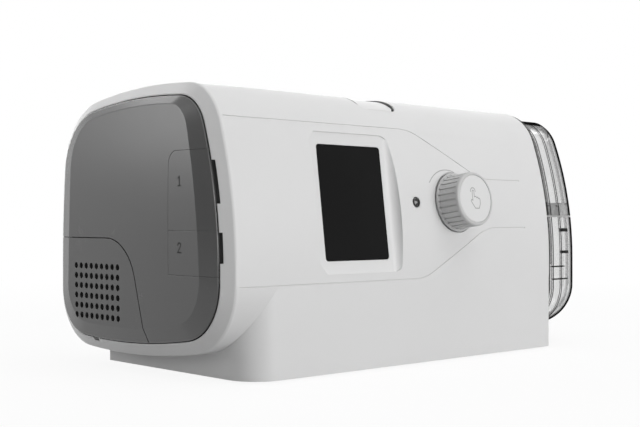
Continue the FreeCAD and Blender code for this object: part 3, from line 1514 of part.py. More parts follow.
def dial():
    """The dial: a turned ring with a rim at its back, a rounded front edge and a ring of grip grooves."""
    radius = S.dial_radius
    flange = radius + S.dial_flange
    flange_front = dial_back + S.dial_flange_thick
    outer = ((S.shaft_radius, dial_back), (flange, dial_back), (flange, flange_front),
             (radius, flange_front + S.dial_flange / 2), (radius, dial_front))
    inner = ((S.cap_radius, dial_front), (S.cap_radius, cap_low), (S.shaft_radius, cap_low))
    body = turned("dial_body", outer + inner)
    doc.recompute()
    turn = body.Tip
    rims = [i for i, edge in enumerate(turn.Shape.Edges, start=1)
            if lies_at(edge, "Z", dial_front) and edge.BoundBox.XLength > float(radius + S.cap_radius)]
    edge_round = body.newObject("PartDesign::Fillet", "dial_edge_round")
    edge_round.Base = (turn, [f"Edge{i}" for i in rims])
    bind(edge_round, Radius=S.dial_edge)
    doc.recompute()
    half = S.dial_rib_width / 2
    depth = radius - S.dial_rib_deep
    mouth = radius * 2
    corners = ((-half, depth), (half, depth), (half, mouth), (-half, mouth))
    groove = outline_sketch(body, "XY_Plane", corners)
    bind(groove, AttachmentOffset_Base_z=dial_back + S.dial_rib_start)
    pocket = body.newObject("PartDesign::Pocket", "dial_groove")
    pocket.Profile = groove
    pocket.Reversed = True
    bind(pocket, Length=S.dial_rib_length)
    doc.recompute()
    ring = body.newObject("PartDesign::PolarPattern", "dial_grooves")
    ring.Originals = [pocket]
    ring.Axis = (groove, ["N_Axis"])
    ring.Angle = 360
    bind(ring, Occurrences=S.dial_ribs)
    body.Tip = ring
    return facing_out(body, dial_x)


def start_switch():
    half = S.switch_size / 2
    body = box("switch_case", (-half, half), (-half, half), (switch_low, switch_top - S.board_thick / 2))
    key = cylinder("switch_key", S.switch_key, (0.0, 0.0), (switch_low, switch_top))
    base = box("switch_board", (-half * 2, half * 2), (-half, half), (bracket_low, switch_low))
    return on_button(fuse("switch_all", body, key, base))


def heater_plate():
    top = tank_floor_z - S.fit_gap
    return box("heater", heater_xs(0), heater_ys(0), (top - S.heater_thick, top))


def heater_insulator():
    top = tank_floor_z - S.fit_gap - S.heater_thick
    below = bay_floor_z - S.wall
    core = box("insulator_core", heater_xs(0), heater_ys(0), (below - S.heater_thick, top))
    flange = box("insulator_flange", heater_xs(S.wall), heater_ys(S.wall), (below - S.heater_thick, below))
    return fuse("insulator_both", core, flange)


def tank_heat_plate():
    """The metal plate in the tank's floor, with a flange inside."""
    top = tank_floor_z + S.tank_wall
    edge = S.tank_wall * 2
    core = box("plate_core", heater_xs(S.tank_wall), heater_ys(S.tank_wall), (tank_floor_z, top))
    flange = box("plate_flange", heater_xs(edge), heater_ys(edge), (top, top + S.plate_thick))
    return fuse("plate_both", core, flange)


def socket(name, height, width, tall):
    """A socket: a metal shell with an open mouth and, where there is room, a tongue."""
    xs = (rim_x + S.fit_gap, socket_board_x)
    ys = (ports_y - width / 2, ports_y + width / 2)
    zs = (height - tall / 2, height + tall / 2)
    shell = S.socket_shell
    body = box(name + "_shell", xs, ys, zs)
    mouth = box(name + "_mouth", (rim_x - shell, socket_board_x - shell * 2),
                (ys[0] + shell, ys[1] - shell), (zs[0] + shell, zs[1] - shell))
    inner = shell * 2
    tongue = box(name + "_tongue", (rim_x + inner, socket_board_x - shell), (ys[0] + inner, ys[1] - inner),
                 (height - shell / 2, height + shell / 2))
    return fuse(name + "_whole", cut(name + "_cup", body, mouth), tongue)


def port_board():
    half = S.usb_width / 2 + S.wall
    xs = (socket_board_x, socket_board_x + S.board_thick)
    zs = (S.data_height - S.data_tall - S.post_radius, S.usb_height + S.usb_tall)
    return box("port_board_plate", xs, (ports_y - half, ports_y + half), zs)


power_board_z = S.jack_height - S.jack_radius - S.fit_gap - S.board_thick
power_board_top = power_board_z + S.board_thick


def power_posts():
    """Plan positions of the power board's posts."""
    reach = S.post_radius + S.wall
    left, right = power_board_xs()
    rows = (power_board_ys()[0] + reach, foot_back_y - reach)
    return [(x, y) for x in (left + reach, right - reach) for y in rows]


def power_board_xs():
    return jack_x - S.jack_length, jack_x - S.jack_length + S.power_board_length


def power_board_ys():
    return mid_y, back_y - S.wall * 2


def power_board():
    pieces = [box("power_plate", power_board_xs(), power_board_ys(), (power_board_z, power_board_top))]
    step = S.jack_length
    for i in range(2):
        centre = (jack_x + step * (i + 1), mid_y + S.buzzer_radius * 2)
        zs = (power_board_z, power_board_top + step)
        pieces.append(cylinder(f"capacitor_{i}", S.buzzer_radius, centre, zs))
    zs = (power_board_z, power_board_top + S.chip_size / 2)
    ys = (mid_y + step * 2, mid_y + step * 3)
    pieces.append(box("choke", (jack_x + step, jack_x + step * 2), ys, zs))
    return fuse("power_all", *pieces)


def power_jack():
    face = back_y - S.fit_gap
    middle = (jack_x, S.jack_height)
    start = face - S.jack_length
    barrel = cylinder("jack_barrel", S.jack_radius, middle, (start, face), "y")
    xs = (jack_x - S.jack_radius, jack_x + S.jack_radius)
    zs = (power_board_top, S.jack_height + S.jack_radius)
    case = box("jack_case", xs, (start, back_y - S.wall - S.fit_gap), zs)
    bore = cylinder("jack_hole", S.jack_bore, middle, (start + S.wall, back_y), "y")
    pin = cylinder("jack_pin", S.jack_pin, middle, (start, face - S.wall), "y")
    return fuse("jack_whole", cut("jack_cut", fuse("jack_body", barrel, case), bore), pin)


# ---------------------------------------------------------------- the assembly
node(formed("housing_shell", main_housing()), "main_housing")
node(formed("base_plate", bottom_cover()), "bottom_cover")
node(rubber_feet(), "rubber_feet")
node(base_screws(), "base_screws")
node(formed("panel", end_panel()), "end_panel")
node(formed("door_above", door(door_split_z, door_high_z, S.door_corner)), "port_door_upper")
node(formed("door_below", door(door_low_z, door_split_z, S.fit_gap)), "port_door_lower")
node(formed("cover", filter_cover()), "filter_cover")
node(formed("tray", filter_tray()), "filter_tray")
node(formed("foam_filter", inlet_filter()), "inlet_filter")
node(inlet_bellows(), "inlet_bellows")
node(formed("volute_a", volute_half(volute_x, volute_mid_x)), "volute_front")
node(formed("volute_b", volute_half(volute_mid_x, volute_end_x)), "volute_rear")
node(formed("fan", impeller()), "impeller")
node(impeller_shaft(), "impeller_shaft")
node(motor_can(), "motor_can")
node(motor_cap(), "motor_cap")
node(motor_stator(), "motor_stator")
node(motor_rotor(), "motor_rotor")
node(motor_bearings(), "motor_bearings")
node(blower_mounts(), "blower_mounts")
node(formed("duct_a", air_duct()), "air_duct")
node(formed("duct_b", outlet_duct()), "outlet_duct")
node(formed("outlet", outlet_port()), "outlet_port")
node(flow_sensor(), "flow_sensor")
node(formed("foam", acoustic_foam()), "acoustic_foam")
node(formed("bay", humidifier_bay()), "humidifier_bay")
node(formed("seals", port_seals()), "port_seals")
node(heater_plate(), "heater_plate")
node(heater_insulator(), "heater_insulator")
node(formed("tub", tank_tub()), "tank_tub")
node(formed("lid", tank_lid()), "tank_lid")
node(formed("tank_gasket", tank_seal()), "tank_seal")
node(tank_heat_plate(), "tank_heat_plate")
node(display_window(), "display_window")
node(display_module(), "display_module")
node(main_board(), "main_board")
node(light_sensor(), "light_sensor")
node(buzzer(), "buzzer")
node(encoder_body(), "encoder_body")
node(encoder_plunger(), "encoder_plunger")
node(encoder_shaft(), "encoder_shaft")
node(dial(), "dial")
node(dial_cap(), "dial_cap")
node(formed("key", start_button()), "start_button")
node(formed("key_ring", button_gasket()), "button_gasket")
node(formed("bracket", switch_bracket()), "switch_bracket")
node(start_switch(), "start_switch")
node(port_board(), "port_board")
node(socket("usb", S.usb_height, S.usb_width, S.usb_tall), "usb_socket")
node(socket("card", S.card_height, S.card_width, S.card_tall), "card_socket")
node(socket("data", S.data_height, S.data_width, S.data_tall), "data_socket")
node(power_board(), "power_board")
node(power_jack(), "power_jack")

doc.recompute()
for obj in doc.Objects:
    if "Invalid" in obj.State or "Error" in obj.State:
        raise RuntimeError(f"{obj.Label} failed to compute: {obj.State}")
for obj in NODES:
    if obj.Shape.isNull() or not obj.Shape.isValid() or not obj.Shape.Solids:
        raise RuntimeError(f"{obj.Label} has no valid solid")
os.makedirs("parts", exist_ok=True)
for obj in NODES:
    obj.Shape.exportStep(f"parts/{obj.Label}.step")
print(len(NODES), "nodes written")
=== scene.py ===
import json
import math
import bpy
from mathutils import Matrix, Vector


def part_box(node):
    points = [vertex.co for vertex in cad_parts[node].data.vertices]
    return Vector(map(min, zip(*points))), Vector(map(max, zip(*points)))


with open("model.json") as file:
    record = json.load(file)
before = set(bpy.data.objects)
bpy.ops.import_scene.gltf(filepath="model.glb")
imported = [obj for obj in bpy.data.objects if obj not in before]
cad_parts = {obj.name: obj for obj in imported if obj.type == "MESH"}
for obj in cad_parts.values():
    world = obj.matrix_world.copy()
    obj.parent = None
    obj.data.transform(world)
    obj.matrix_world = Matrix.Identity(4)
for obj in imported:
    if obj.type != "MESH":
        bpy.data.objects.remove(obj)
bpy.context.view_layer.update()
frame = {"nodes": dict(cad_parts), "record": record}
nodes = frame["nodes"]

mm = 0.001
perMetre = 1000  # turns metres into millimetres, for maps that are drawn in millimetres


# Shader graph: Value is a socket that does arithmetic, Graph adds nodes to a tree, and Finish is
# one material with its Principled shader

class Value:
    def __init__(self, graph, socket):
        self.graph = graph
        self.socket = socket

    def math(self, operation, first, second):
        return self.graph.add("Math", {"operation": operation}, {0: first, 1: second})

    def __add__(self, other):
        return self.math("ADD", self, other)

    def __radd__(self, other):
        return self.math("ADD", other, self)

    def __sub__(self, other):
        return self.math("SUBTRACT", self, other)

    def __rsub__(self, other):
        return self.math("SUBTRACT", other, self)

    def __mul__(self, other):
        return self.math("MULTIPLY", self, other)

    def __rmul__(self, other):
        return self.math("MULTIPLY", other, self)


class Graph:
    def __init__(self, tree):
        self.tree = tree

    def add(self, kind, settings=None, inputs=None, output=0):
        node = self.tree.nodes.new("ShaderNode" + kind)
        for name, value in (settings or {}).items():
            setattr(node, name, value)
        for key, value in (inputs or {}).items():
            if isinstance(value, Value):
                self.tree.links.new(value.socket, node.inputs[key])
            else:
                node.inputs[key].default_value = value
        return Value(self, node.outputs[output])

    def between(self, value, low, high):
        # 0 up to low, 1 from high on, and a straight ramp from one to the other
        inputs = {"Value": value, "From Min": low, "From Max": high}
        return self.add("MapRange", {"clamp": True}, inputs)

    def within(self, value, low, high, soft=0.2):
        return self.between(value, low - soft, low) * (1 - self.between(value, high, high + soft))

    def seen(self, *rays):
        total = sum(self.add("LightPath", output=f"Is {ray} Ray") for ray in rays)
        return self.between(total, 0, 1)

    def blend(self, factor, first, second):
        return self.add("MixShader", {}, {0: factor, 1: first, 2: second})

    def show(self, shader, kind="Material"):
        surface = self.tree.nodes[kind + " Output"].inputs["Surface"]
        self.tree.links.new(shader.socket, surface)


class Finish(Graph):
    def __init__(self, name, **constants):
        self.material = bpy.data.materials.new(name)
        self.material.use_nodes = True
        super().__init__(self.material.node_tree)
        self.shader = self.tree.nodes["Principled BSDF"]
        self.surface = Value(self, self.shader.outputs[0])
        for name, value in constants.items():
            self.socket(name).default_value = value

    def socket(self, name):
        return self.shader.inputs[name.replace("_", " ")]

    def feed(self, **links):
        for name, value in links.items():
            self.tree.links.new(value.socket, self.socket(name))

    def place(self):
        return self.add("TexCoord", output="Object")

    def axis(self, name):
        return self.add("SeparateXYZ", {}, {0: self.place()}, output=name)

    def noise(self, scale, detail=3.0, rough=0.55, stretch=(1, 1, 1)):
        where = self.add("VectorMath", {"operation": "MULTIPLY"}, {0: self.place(), 1: stretch})
        inputs = {"Vector": where, "Scale": scale, "Detail": detail, "Roughness": rough}
        return self.add("TexNoise", {}, inputs)

    def patches(self, scale, reach, detail, rough=0.55):
        return self.between(self.noise(scale, detail, rough), *reach)

    def mix(self, factor, first, second):
        # sockets 6 and 7 are the colour pair of a Mix node, output 2 is its colour
        settings = {"data_type": "RGBA", "clamp_factor": True}
        return self.add("Mix", settings, {0: factor, 6: first, 7: second}, output=2)

    def absolute(self, value):
        return self.add("Math", {"operation": "ABSOLUTE"}, {0: value})

    def smaller(self, first, second):
        return self.add("Math", {"operation": "MINIMUM"}, {0: first, 1: second})

    def facing(self, blend):
        return self.add("LayerWeight", {}, {"Blend": blend}, output="Facing")

    def rounded(self, radius):
        return self.add("Bevel", {"samples": 6}, {"Radius": radius})

    def edges(self, radius, low=0.02, high=0.3):
        # 1 on convex and concave edges, where the rounded normal leaves the true one
        pair = {0: self.rounded(radius), 1: self.add("NewGeometry", output="Normal")}
        same = self.add("VectorMath", {"operation": "DOT_PRODUCT"}, pair, output="Value")
        return self.between(1 - same, low, high)

    def bump(self, height, depth, strength, normal=None):
        inputs = {"Strength": strength, "Distance": depth, "Height": height}
        if normal:
            inputs["Normal"] = normal
        return self.add("Bump", {}, inputs)

    def drawn(self, across, along, strokes, width, soft=0.12):
        # a printed line: 1 on it and 0 off it, for strokes given in millimetres
        nearest = None
        for stroke in strokes:
            for (u, v), (nextU, nextV) in zip(stroke, stroke[1:]):
                stepU, stepV = nextU - u, nextV - v
                ahead = (across - u) * stepU + (along - v) * stepV
                reached = self.between(ahead, 0, stepU ** 2 + stepV ** 2)
                missU, missV = across - u - reached * stepU, along - v - reached * stepV
                apart = missU * missU + missV * missV
                nearest = self.smaller(nearest, apart) if nearest else apart
        return 1 - self.between(nearest, (width / 2) ** 2, (width / 2 + soft) ** 2)


def rgb(level, warm=0.0):
    return (level * (1 + warm), level, level * (1 - warm), 1)


def tinted(level, tint):
    return tuple(min(1, level * part) for part in tint) + (1,)


# Moulded plastics: each takes the common look and its own changes. Edge, soften and depth are in
# millimetres. Grain is fine texture, patches are where an edge is worn, smudges are finger marks.

moulded = {
    "warm": 0.0, "ior": 1.46,
    "cloudScale": 18, "cloudDark": 0.975, "cloudLight": 1.02,
    "grain": 2600, "grainRough": 0.05, "depth": 0.02, "strength": 0.35, "soften": 0.25,
    "edge": 0.7, "wear": 0.5, "wornLift": 1.08, "wornLeast": 0.35, "polish": 0.06,
    "patchScale": 160, "patchReach": (0.45, 0.65),
    "smudge": 0.07, "smudgeScale": 42, "smudgeReach": (0.4, 0.75),
}
plastics = {
    "white_shell": {"level": 0.74, "roughness": 0.42, "wear": 0.35, "worn": 0.8},
    "white_key": {"level": 0.76, "roughness": 0.38, "wear": 0.35, "worn": 0.82},
    "grey_panel": {"level": 0.07, "roughness": 0.27, "ior": 1.6, "smudge": 0.03,
                   "worn": 0.2, "wear": 0.4},
    "grey_door": {"level": 0.07, "roughness": 0.27, "ior": 1.6, "smudge": 0.03,
                  "worn": 0.2, "wear": 0.4, "edge": 0.4},
    "grey_base": {"level": 0.35, "roughness": 0.55, "depth": 0.05, "strength": 0.6, "grain": 1400},
    "black_plastic": {"level": 0.02, "roughness": 0.45, "worn": 0.05},
    "blower_plastic": {"level": 0.6, "roughness": 0.45, "warm": 0.02},
    "duct_plastic": {"level": 0.62, "roughness": 0.3},
    "dial_grey": {"level": 0.56, "roughness": 0.42, "worn": 0.7, "edge": 0.35},
    "dial_face": {"level": 0.74, "roughness": 0.36, "worn": 0.8},
    "lens_black": {"level": 0.008, "roughness": 0.08, "grain": 600, "strength": 0.02,
                   "worn": 0.02, "ior": 1.5},
}


def mouldedPlastic(name, changes, mark=None):
    look = {**moulded, **changes}
    level, tint = look["level"], look["warm"]
    wornLevel = look.get("worn", level * look["wornLift"])
    finish = Finish(name, IOR=look["ior"])
    clouds = finish.noise(look["cloudScale"], detail=3)
    grain = finish.noise(look["grain"], detail=2, rough=0.5)
    patches = finish.patches(look["patchScale"], look["patchReach"], detail=4)
    worn = finish.edges(look["edge"] * mm) * (look["wornLeast"] + (1 - look["wornLeast"]) * patches)
    smudges = finish.patches(look["smudgeScale"], look["smudgeReach"], detail=5, rough=0.6)
    darker, lighter = (rgb(level * look[cloud], tint) for cloud in ("cloudDark", "cloudLight"))
    base = finish.mix(clouds, darker, lighter)
    base = finish.mix(worn * look["wear"], base, rgb(wornLevel, tint))
    rough = (look["roughness"] - look["grainRough"] + look["smudge"] * smudges
             + look["grainRough"] * grain - look["polish"] * worn)
    # a mark is print on the dial and the doors, and painted shade on the shell
    if mark:
        inkAndShade, draw = mark
        printedAndShaded = draw(finish)
        base = finish.mix(printedAndShaded * inkAndShade["share"], base, rgb(inkAndShade["level"]))
        rough = rough + printedAndShaded * inkAndShade["matt"]
    soft = finish.rounded(look["soften"] * mm)
    finish.feed(
        Base_Color=base,
        Roughness=rough,
        Normal=finish.bump(grain, look["depth"] * mm, look["strength"], soft),
    )
    return finish.material


# Marks on the plastics, in millimetres: a pressing finger on the dial, a plain 1 and 2 on the port
# doors, and painted shade on the shell: a dark arc where the edge of the dial's seat is in shade,
# and dark stripes for the shadow in the gap beside the start key

fingerMark = {
    "level": 0.3, "share": 0.9, "matt": 0.1, "width": 0.32,
    "strokes": [
        [(-2.3, -0.8), (-2.3, 3.6), (-1.9, 4.3), (-1.3, 4.3), (-0.9, 3.6), (-0.9, 0.9), (0.3, 1.2),
         (0.9, 0.5), (1.8, 0.8), (2.3, 0.0), (3.0, 0.2), (3.4, -0.6), (3.3, -2.6), (2.2, -4.9),
         (-0.8, -4.9), (-2.4, -2.9), (-3.7, -1.2), (-3.2, -0.4), (-2.3, -0.9)],
        [(-3.5, 3.6), (-3.2, 4.8), (-2.3, 5.5), (-1.0, 5.5), (-0.1, 4.8), (0.2, 3.6)],
    ],
}
doorMark = {
    "level": 0.002, "share": 1.0, "matt": 0.6, "width": 0.6,
    "across": 0.74, "along": 0.62,  # the figure's place, as shares of the door's depth and height
    "figures": {
        "port_door_upper": [[(-0.9, 1.2), (0.2, 2.1), (0.2, -2.1)], [(-0.8, -2.1), (1.2, -2.1)]],
        "port_door_lower": [[(-1.2, 1.1), (-0.7, 1.9), (0.3, 2.1), (1.1, 1.6), (1.1, 0.7),
                             (-1.3, -2.1), (1.3, -2.1)]],
    },
}
# Painted shade on the shell: the arc stands for the shaded edge of the dial's seat, the gap shade
# for the shadow beside the start key
shellShade = {
    "level": 0.2, "share": 0.9, "matt": 0.2,
    "arcMiddle": (-4.0, -1.0), "arcRadius": 18.0, "arcAngles": range(70, 143, 9),
    "arcWidth": 0.3, "arcShare": 0.75, "frontReach": (-60, -55),  # only on the front, by Y
    "gapShadeWidth": 1.0, "gapShadeInset": 4, "gapShadeFade": 2.0, "gapShadeRise": 0.5,
}


def faceOfDial(finish):
    joints = frame["record"]["behaviour"]["joints"]
    spin = next(joint for joint in joints if joint["name"] == "dial_spin")
    lean = math.atan2(spin["axis"][2], -spin["axis"][1])
    middle = spin["pos_m"]
    across = finish.axis("X") - middle[0]
    rise = ((finish.axis("Y") - middle[1]) * math.sin(lean)
            + (finish.axis("Z") - middle[2]) * math.cos(lean))
    return across * perMetre, rise * perMetre


def onDial(finish):
    return finish.drawn(*faceOfDial(finish), fingerMark["strokes"], fingerMark["width"])


def onDoor(node):
    low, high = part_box(node)
    across = low.y + doorMark["across"] * (high.y - low.y)
    along = low.z + doorMark["along"] * (high.z - low.z)

    def draw(finish):
        toLeft = (across - finish.axis("Y")) * perMetre
        up = (finish.axis("Z") - along) * perMetre
        return finish.drawn(toLeft, up, doorMark["figures"][node], doorMark["width"])
    return draw


# painted shade on the shell: a dark arc on the dial seat's edge and dark stripes in the gap beside
# the key
def shadeOnShell(finish):
    look = shellShade
    x, y, z = (finish.axis(name) * perMetre for name in "XYZ")
    turns = [math.radians(angle) for angle in look["arcAngles"]]
    arc = [(look["arcMiddle"][0] + look["arcRadius"] * math.cos(turn),
            look["arcMiddle"][1] + look["arcRadius"] * math.sin(turn)) for turn in turns]
    # painted shade along the upper left edge of the dial's seat
    seatEdgeShade = finish.drawn(*faceOfDial(finish), [arc], look["arcWidth"])
    seatEdgeShade = seatEdgeShade * (1 - finish.between(y, *look["frontReach"]))
    # painted shade for the shadowed gap on both sides of the start key
    low, high = (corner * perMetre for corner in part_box("button_gasket"))
    beside = (finish.within(x, low.x - look["gapShadeWidth"], low.x)
              + finish.within(x, high.x, high.x + look["gapShadeWidth"]))
    length = finish.within(y, low.y + look["gapShadeInset"], high.y - look["gapShadeInset"], look["gapShadeFade"])
    keyGapShade = beside * length * finish.between(z, low.z, low.z + look["gapShadeRise"])
    return finish.between(seatEdgeShade * look["arcShare"] + keyGapShade, 0, 1)


marks = {"white_shell": (shellShade, shadeOnShell), "dial_face": (fingerMark, onDial)}
materials = {name: mouldedPlastic(name + "_finish", changes, marks.get(name))
             for name, changes in plastics.items()}
doorFinishes = {
    node: mouldedPlastic(node + "_finish", plastics["grey_door"], (doorMark, onDoor(node)))
    for node in doorMark["figures"]
}
print("plastics:", len(materials), "and doors:", len(doorFinishes))


# Rubber and silicone with dust in a fine grain

dusty = {
    "specular": 0.35, "edge": 0.4, "polish": 0.06, "dustRough": 0.12,
    "dustScale": 90, "dustReach": (0.42, 0.7), "dustLift": 1.25, "dustGrey": 0.012,
    "grain": 1500, "depth": 0.05, "strength": 0.5, "soften": 0.2,
}
rubbers = {
    "foot_rubber": {"level": 0.022, "roughness": 0.72},
    "soft_silicone": {"level": 0.5, "roughness": 0.48},
    "tank_silicone": {"level": 0.36, "roughness": 0.4},
}


def rubber(name, changes):
    look = {**dusty, **changes}
    finish = Finish(name, Specular_IOR_Level=look["specular"])
    dust = finish.patches(look["dustScale"], look["dustReach"], detail=5, rough=0.65)
    polished = finish.edges(look["edge"] * mm)
    soft = finish.rounded(look["soften"] * mm)
    dustLevel = look["level"] * look["dustLift"] + look["dustGrey"]
    grain = finish.noise(look["grain"], detail=3)
    finish.feed(
        Base_Color=finish.mix(dust, rgb(look["level"]), rgb(dustLevel)),
        Roughness=look["roughness"] + look["dustRough"] * dust - look["polish"] * polished,
        Normal=finish.bump(grain, look["depth"] * mm, look["strength"], soft),
    )
    return finish.material


# Open foam: round pores, and paler where it has faded

porous = {
    "sheen": 0.15, "roughness": 0.86,
    "poreReach": (0.15, 0.62), "poreShade": 0.35, "poreRough": 0.12,
    "fadeScale": 60, "fadeReach": (0.5, 0.8), "fade": 0.4, "fadeLift": 1.25,
    "depth": 0.4, "strength": 0.9,
}
foams = {
    "filter_foam": {"level": 0.3, "cells": 900},
    "roof_foam": {"level": 0.035, "cells": 700},
}


def foam(name, changes):
    look = {**porous, **changes}
    level = look["level"]
    finish = Finish(name, Sheen_Weight=look["sheen"])
    spacing = {"Vector": finish.place(), "Scale": look["cells"]}
    cells = finish.add("TexVoronoi", {"feature": "F1"}, spacing)
    pores = finish.between(cells, *look["poreReach"])
    faded = finish.patches(look["fadeScale"], look["fadeReach"], detail=4) * look["fade"]
    # the pores are painted darker, as painted shade inside the open cells
    base = finish.mix(pores, rgb(level), rgb(level * look["poreShade"]))
    finish.feed(
        Base_Color=finish.mix(faded, base, rgb(level * look["fadeLift"])),
        Roughness=look["roughness"] + look["poreRough"] * pores,
        Normal=finish.bump(1 - pores, look["depth"] * mm, look["strength"]),
    )
    return finish.material


# Metals, brushed along the stretched axes and stained in places

brushed = {
    "metallic": 0.97, "lineRough": 0.12, "stainScale": 55, "stainReach": (0.45, 0.75),
    "stain": 0.6, "stainShade": 0.75, "stainRough": 0.1, "stainMetallic": 0.12,
    "edge": 0.4, "wear": 0.5, "wornLift": 1.2, "depth": 0.02, "strength": 0.4, "soften": 0.2,
    "tint": (1, 1, 1), "stretch": (1, 1, 1),
}
metals = {
    "screw_steel": {"level": 0.55, "roughness": 0.3, "lines": 900},
    "motor_steel": {"level": 0.45, "roughness": 0.3, "lines": 500, "stretch": (1, 9, 9)},
    "shaft_steel": {"level": 0.62, "roughness": 0.18, "lines": 700, "stretch": (1, 8, 8)},
    "copper_stator": {"level": 0.75, "roughness": 0.3, "lines": 900, "stretch": (9, 1, 1),
                      "tint": (0.9, 0.48, 0.28)},
    "heater_metal": {"level": 0.68, "roughness": 0.32, "lines": 420, "stretch": (1, 12, 1)},
    "tank_metal": {"level": 0.6, "roughness": 0.26, "lines": 420, "stretch": (1, 12, 1)},
    "socket_metal": {"level": 0.6, "roughness": 0.24, "lines": 800, "stretch": (8, 1, 1)},
}


def metal(name, changes):
    look = {**brushed, **changes}
    level, tint = look["level"], look["tint"]
    finish = Finish(name)
    lines = finish.noise(look["lines"], detail=3, rough=0.6, stretch=look["stretch"])
    stains = finish.patches(look["stainScale"], look["stainReach"], detail=5, rough=0.6)
    worn = finish.edges(look["edge"] * mm)
    soft = finish.rounded(look["soften"] * mm)
    stained = tinted(level * look["stainShade"], tint)
    base = finish.mix(stains * look["stain"], tinted(level, tint), stained)
    finish.feed(
        Base_Color=finish.mix(worn * look["wear"], base, tinted(level * look["wornLift"], tint)),
        Metallic=look["metallic"] - look["stainMetallic"] * stains,
        Roughness=look["roughness"] + look["lineRough"] * lines + look["stainRough"] * stains,
        Normal=finish.bump(lines, look["depth"] * mm, look["strength"], soft),
    )
    return finish.material


# Green circuit board with raised tracks under the solder mask

board = {
    "ior": 1.5, "coat": 0.4, "coatRoughness": 0.12,
    "tracks": 130, "trackWidth": 0.03, "trackShare": 0.55, "offset": 0.37, "squash": 0.6,
    "green": (0.006, 0.055, 0.02, 1), "paleGreen": (0.01, 0.08, 0.03, 1),
    "trackGreen": (0.02, 0.16, 0.06, 1), "cloudScale": 40, "weave": 1200,
    "roughness": 0.32, "weaveRough": 0.1, "edge": 0.3, "polish": 0.08,
    "weaveHeight": 0.2, "depth": 0.03, "strength": 0.6,
}


def circuitBoard(name, look):
    finish = Finish(name, IOR=look["ior"], Coat_Weight=look["coat"],
                    Coat_Roughness=look["coatRoughness"])
    bricks = {"Vector": finish.place(), "Scale": look["tracks"], "Mortar Size": look["trackWidth"],
              "Color1": rgb(0), "Color2": rgb(0), "Mortar": rgb(1)}
    layout = {"offset": look["offset"], "squash": look["squash"]}
    tracks = finish.add("TexBrick", layout, bricks, output="Fac")
    weave = finish.noise(look["weave"], detail=2)
    clouds = finish.noise(look["cloudScale"], detail=3)
    mask = finish.mix(clouds, look["green"], look["paleGreen"])
    polished = finish.edges(look["edge"] * mm)
    height = tracks + look["weaveHeight"] * weave
    finish.feed(
        Base_Color=finish.mix(tracks * look["trackShare"], mask, look["trackGreen"]),
        Roughness=look["roughness"] + look["weaveRough"] * weave - look["polish"] * polished,
        Normal=finish.bump(height, look["depth"] * mm, look["strength"]),
    )
    return finish.material


boards = {"circuit_board": board}
makers = ((rubber, rubbers), (foam, foams), (metal, metals), (circuitBoard, boards))
for make, kinds in makers:
    materials.update({name: make(name + "_finish", look) for name, look in kinds.items()})
print("with rubbers, foams, metals and boards:", len(materials))


# Display glass: a black border printed round the dark active area, lightly wiped

display = {
    "ior": 1.5, "specular": 0.1, "border": 1.0, "blur": 0.12, "black": 0.0006, "dark": 0.002,
    "wipeScale": 30, "wipeReach": (0.45, 0.7), "wipe": 0.15, "wipeLift": 1.4,
    "roughness": 0.1, "wipeRough": 0.06, "activeRough": 0.05,
    "waveScale": 14, "depth": 0.02, "strength": 0.15, "soften": 0.3,
}


def displayGlass(name, look):
    low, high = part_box("display_window")
    centre = (low + high) / 2
    half = (high - low) / 2
    finish = Finish(name, IOR=look["ior"], Specular_IOR_Level=look["specular"])

    def inside(axis, middle, reach):
        edge = reach - look["border"] * mm
        apart = finish.absolute(finish.axis(axis) - middle)
        return 1 - finish.between(apart, edge - look["blur"] * mm, edge)

    active = inside("X", centre.x, half.x) * inside("Z", centre.z, half.z)
    wiped = finish.patches(look["wipeScale"], look["wipeReach"], detail=5, rough=0.6)
    base = finish.mix(active, rgb(look["black"]), rgb(look["dark"]))
    wave = finish.noise(look["waveScale"], detail=2)
    soft = finish.rounded(look["soften"] * mm)
    finish.feed(
        Base_Color=finish.mix(wiped * look["wipe"], base, rgb(look["dark"] * look["wipeLift"])),
        Roughness=look["roughness"] + look["wipeRough"] * wiped + look["activeRough"] * active,
        Normal=finish.bump(wave, look["depth"] * mm, look["strength"], soft),
    )
    return finish.material


# Clear tank, with painted shade for the dark of refraction: where it is seen edge-on, in lines at
# the ribs and in a band near the sleeve; and printed level marks. All places are in millimetres of
# the frame.

tankLook = {
    "ior": 1.45, "clear": 0.86, "scuffed": 0.76, "scuffScale": 120, "scuffReach": (0.5, 0.78),
    "scuff": 0.5, "roughness": 0.02, "scuffRough": 0.1, "edgeRadius": 0.5,
    "waveScale": 22, "depth": 0.15, "strength": 0.2, "soften": 0.3,
    "edge": (0.6, 0.78), "dark": 0.006, "edgeShare": 1.0, "lineShare": 0.85, "collarShare": 0.8,
    "ribShade": ((95.6, 1.2), (99.2, 0.7), (107.2, 0.7)), "ribShadeSoft": 0.3,  # at X, width
    "levels": ((66.0, 1.6, 107.0, 115.0), (53.4, 1.3, 107.0, 115.0),  # at Z, height, from and to X
               (45.2, 0.5, 98.0, 110.0), (38.0, 0.5, 99.0, 114.0)),
    "levelSoft": 0.25, "levelEnd": 0.3,
    "collar": (90.9, 91.5, 93.2),  # begins, full and gone at X
}


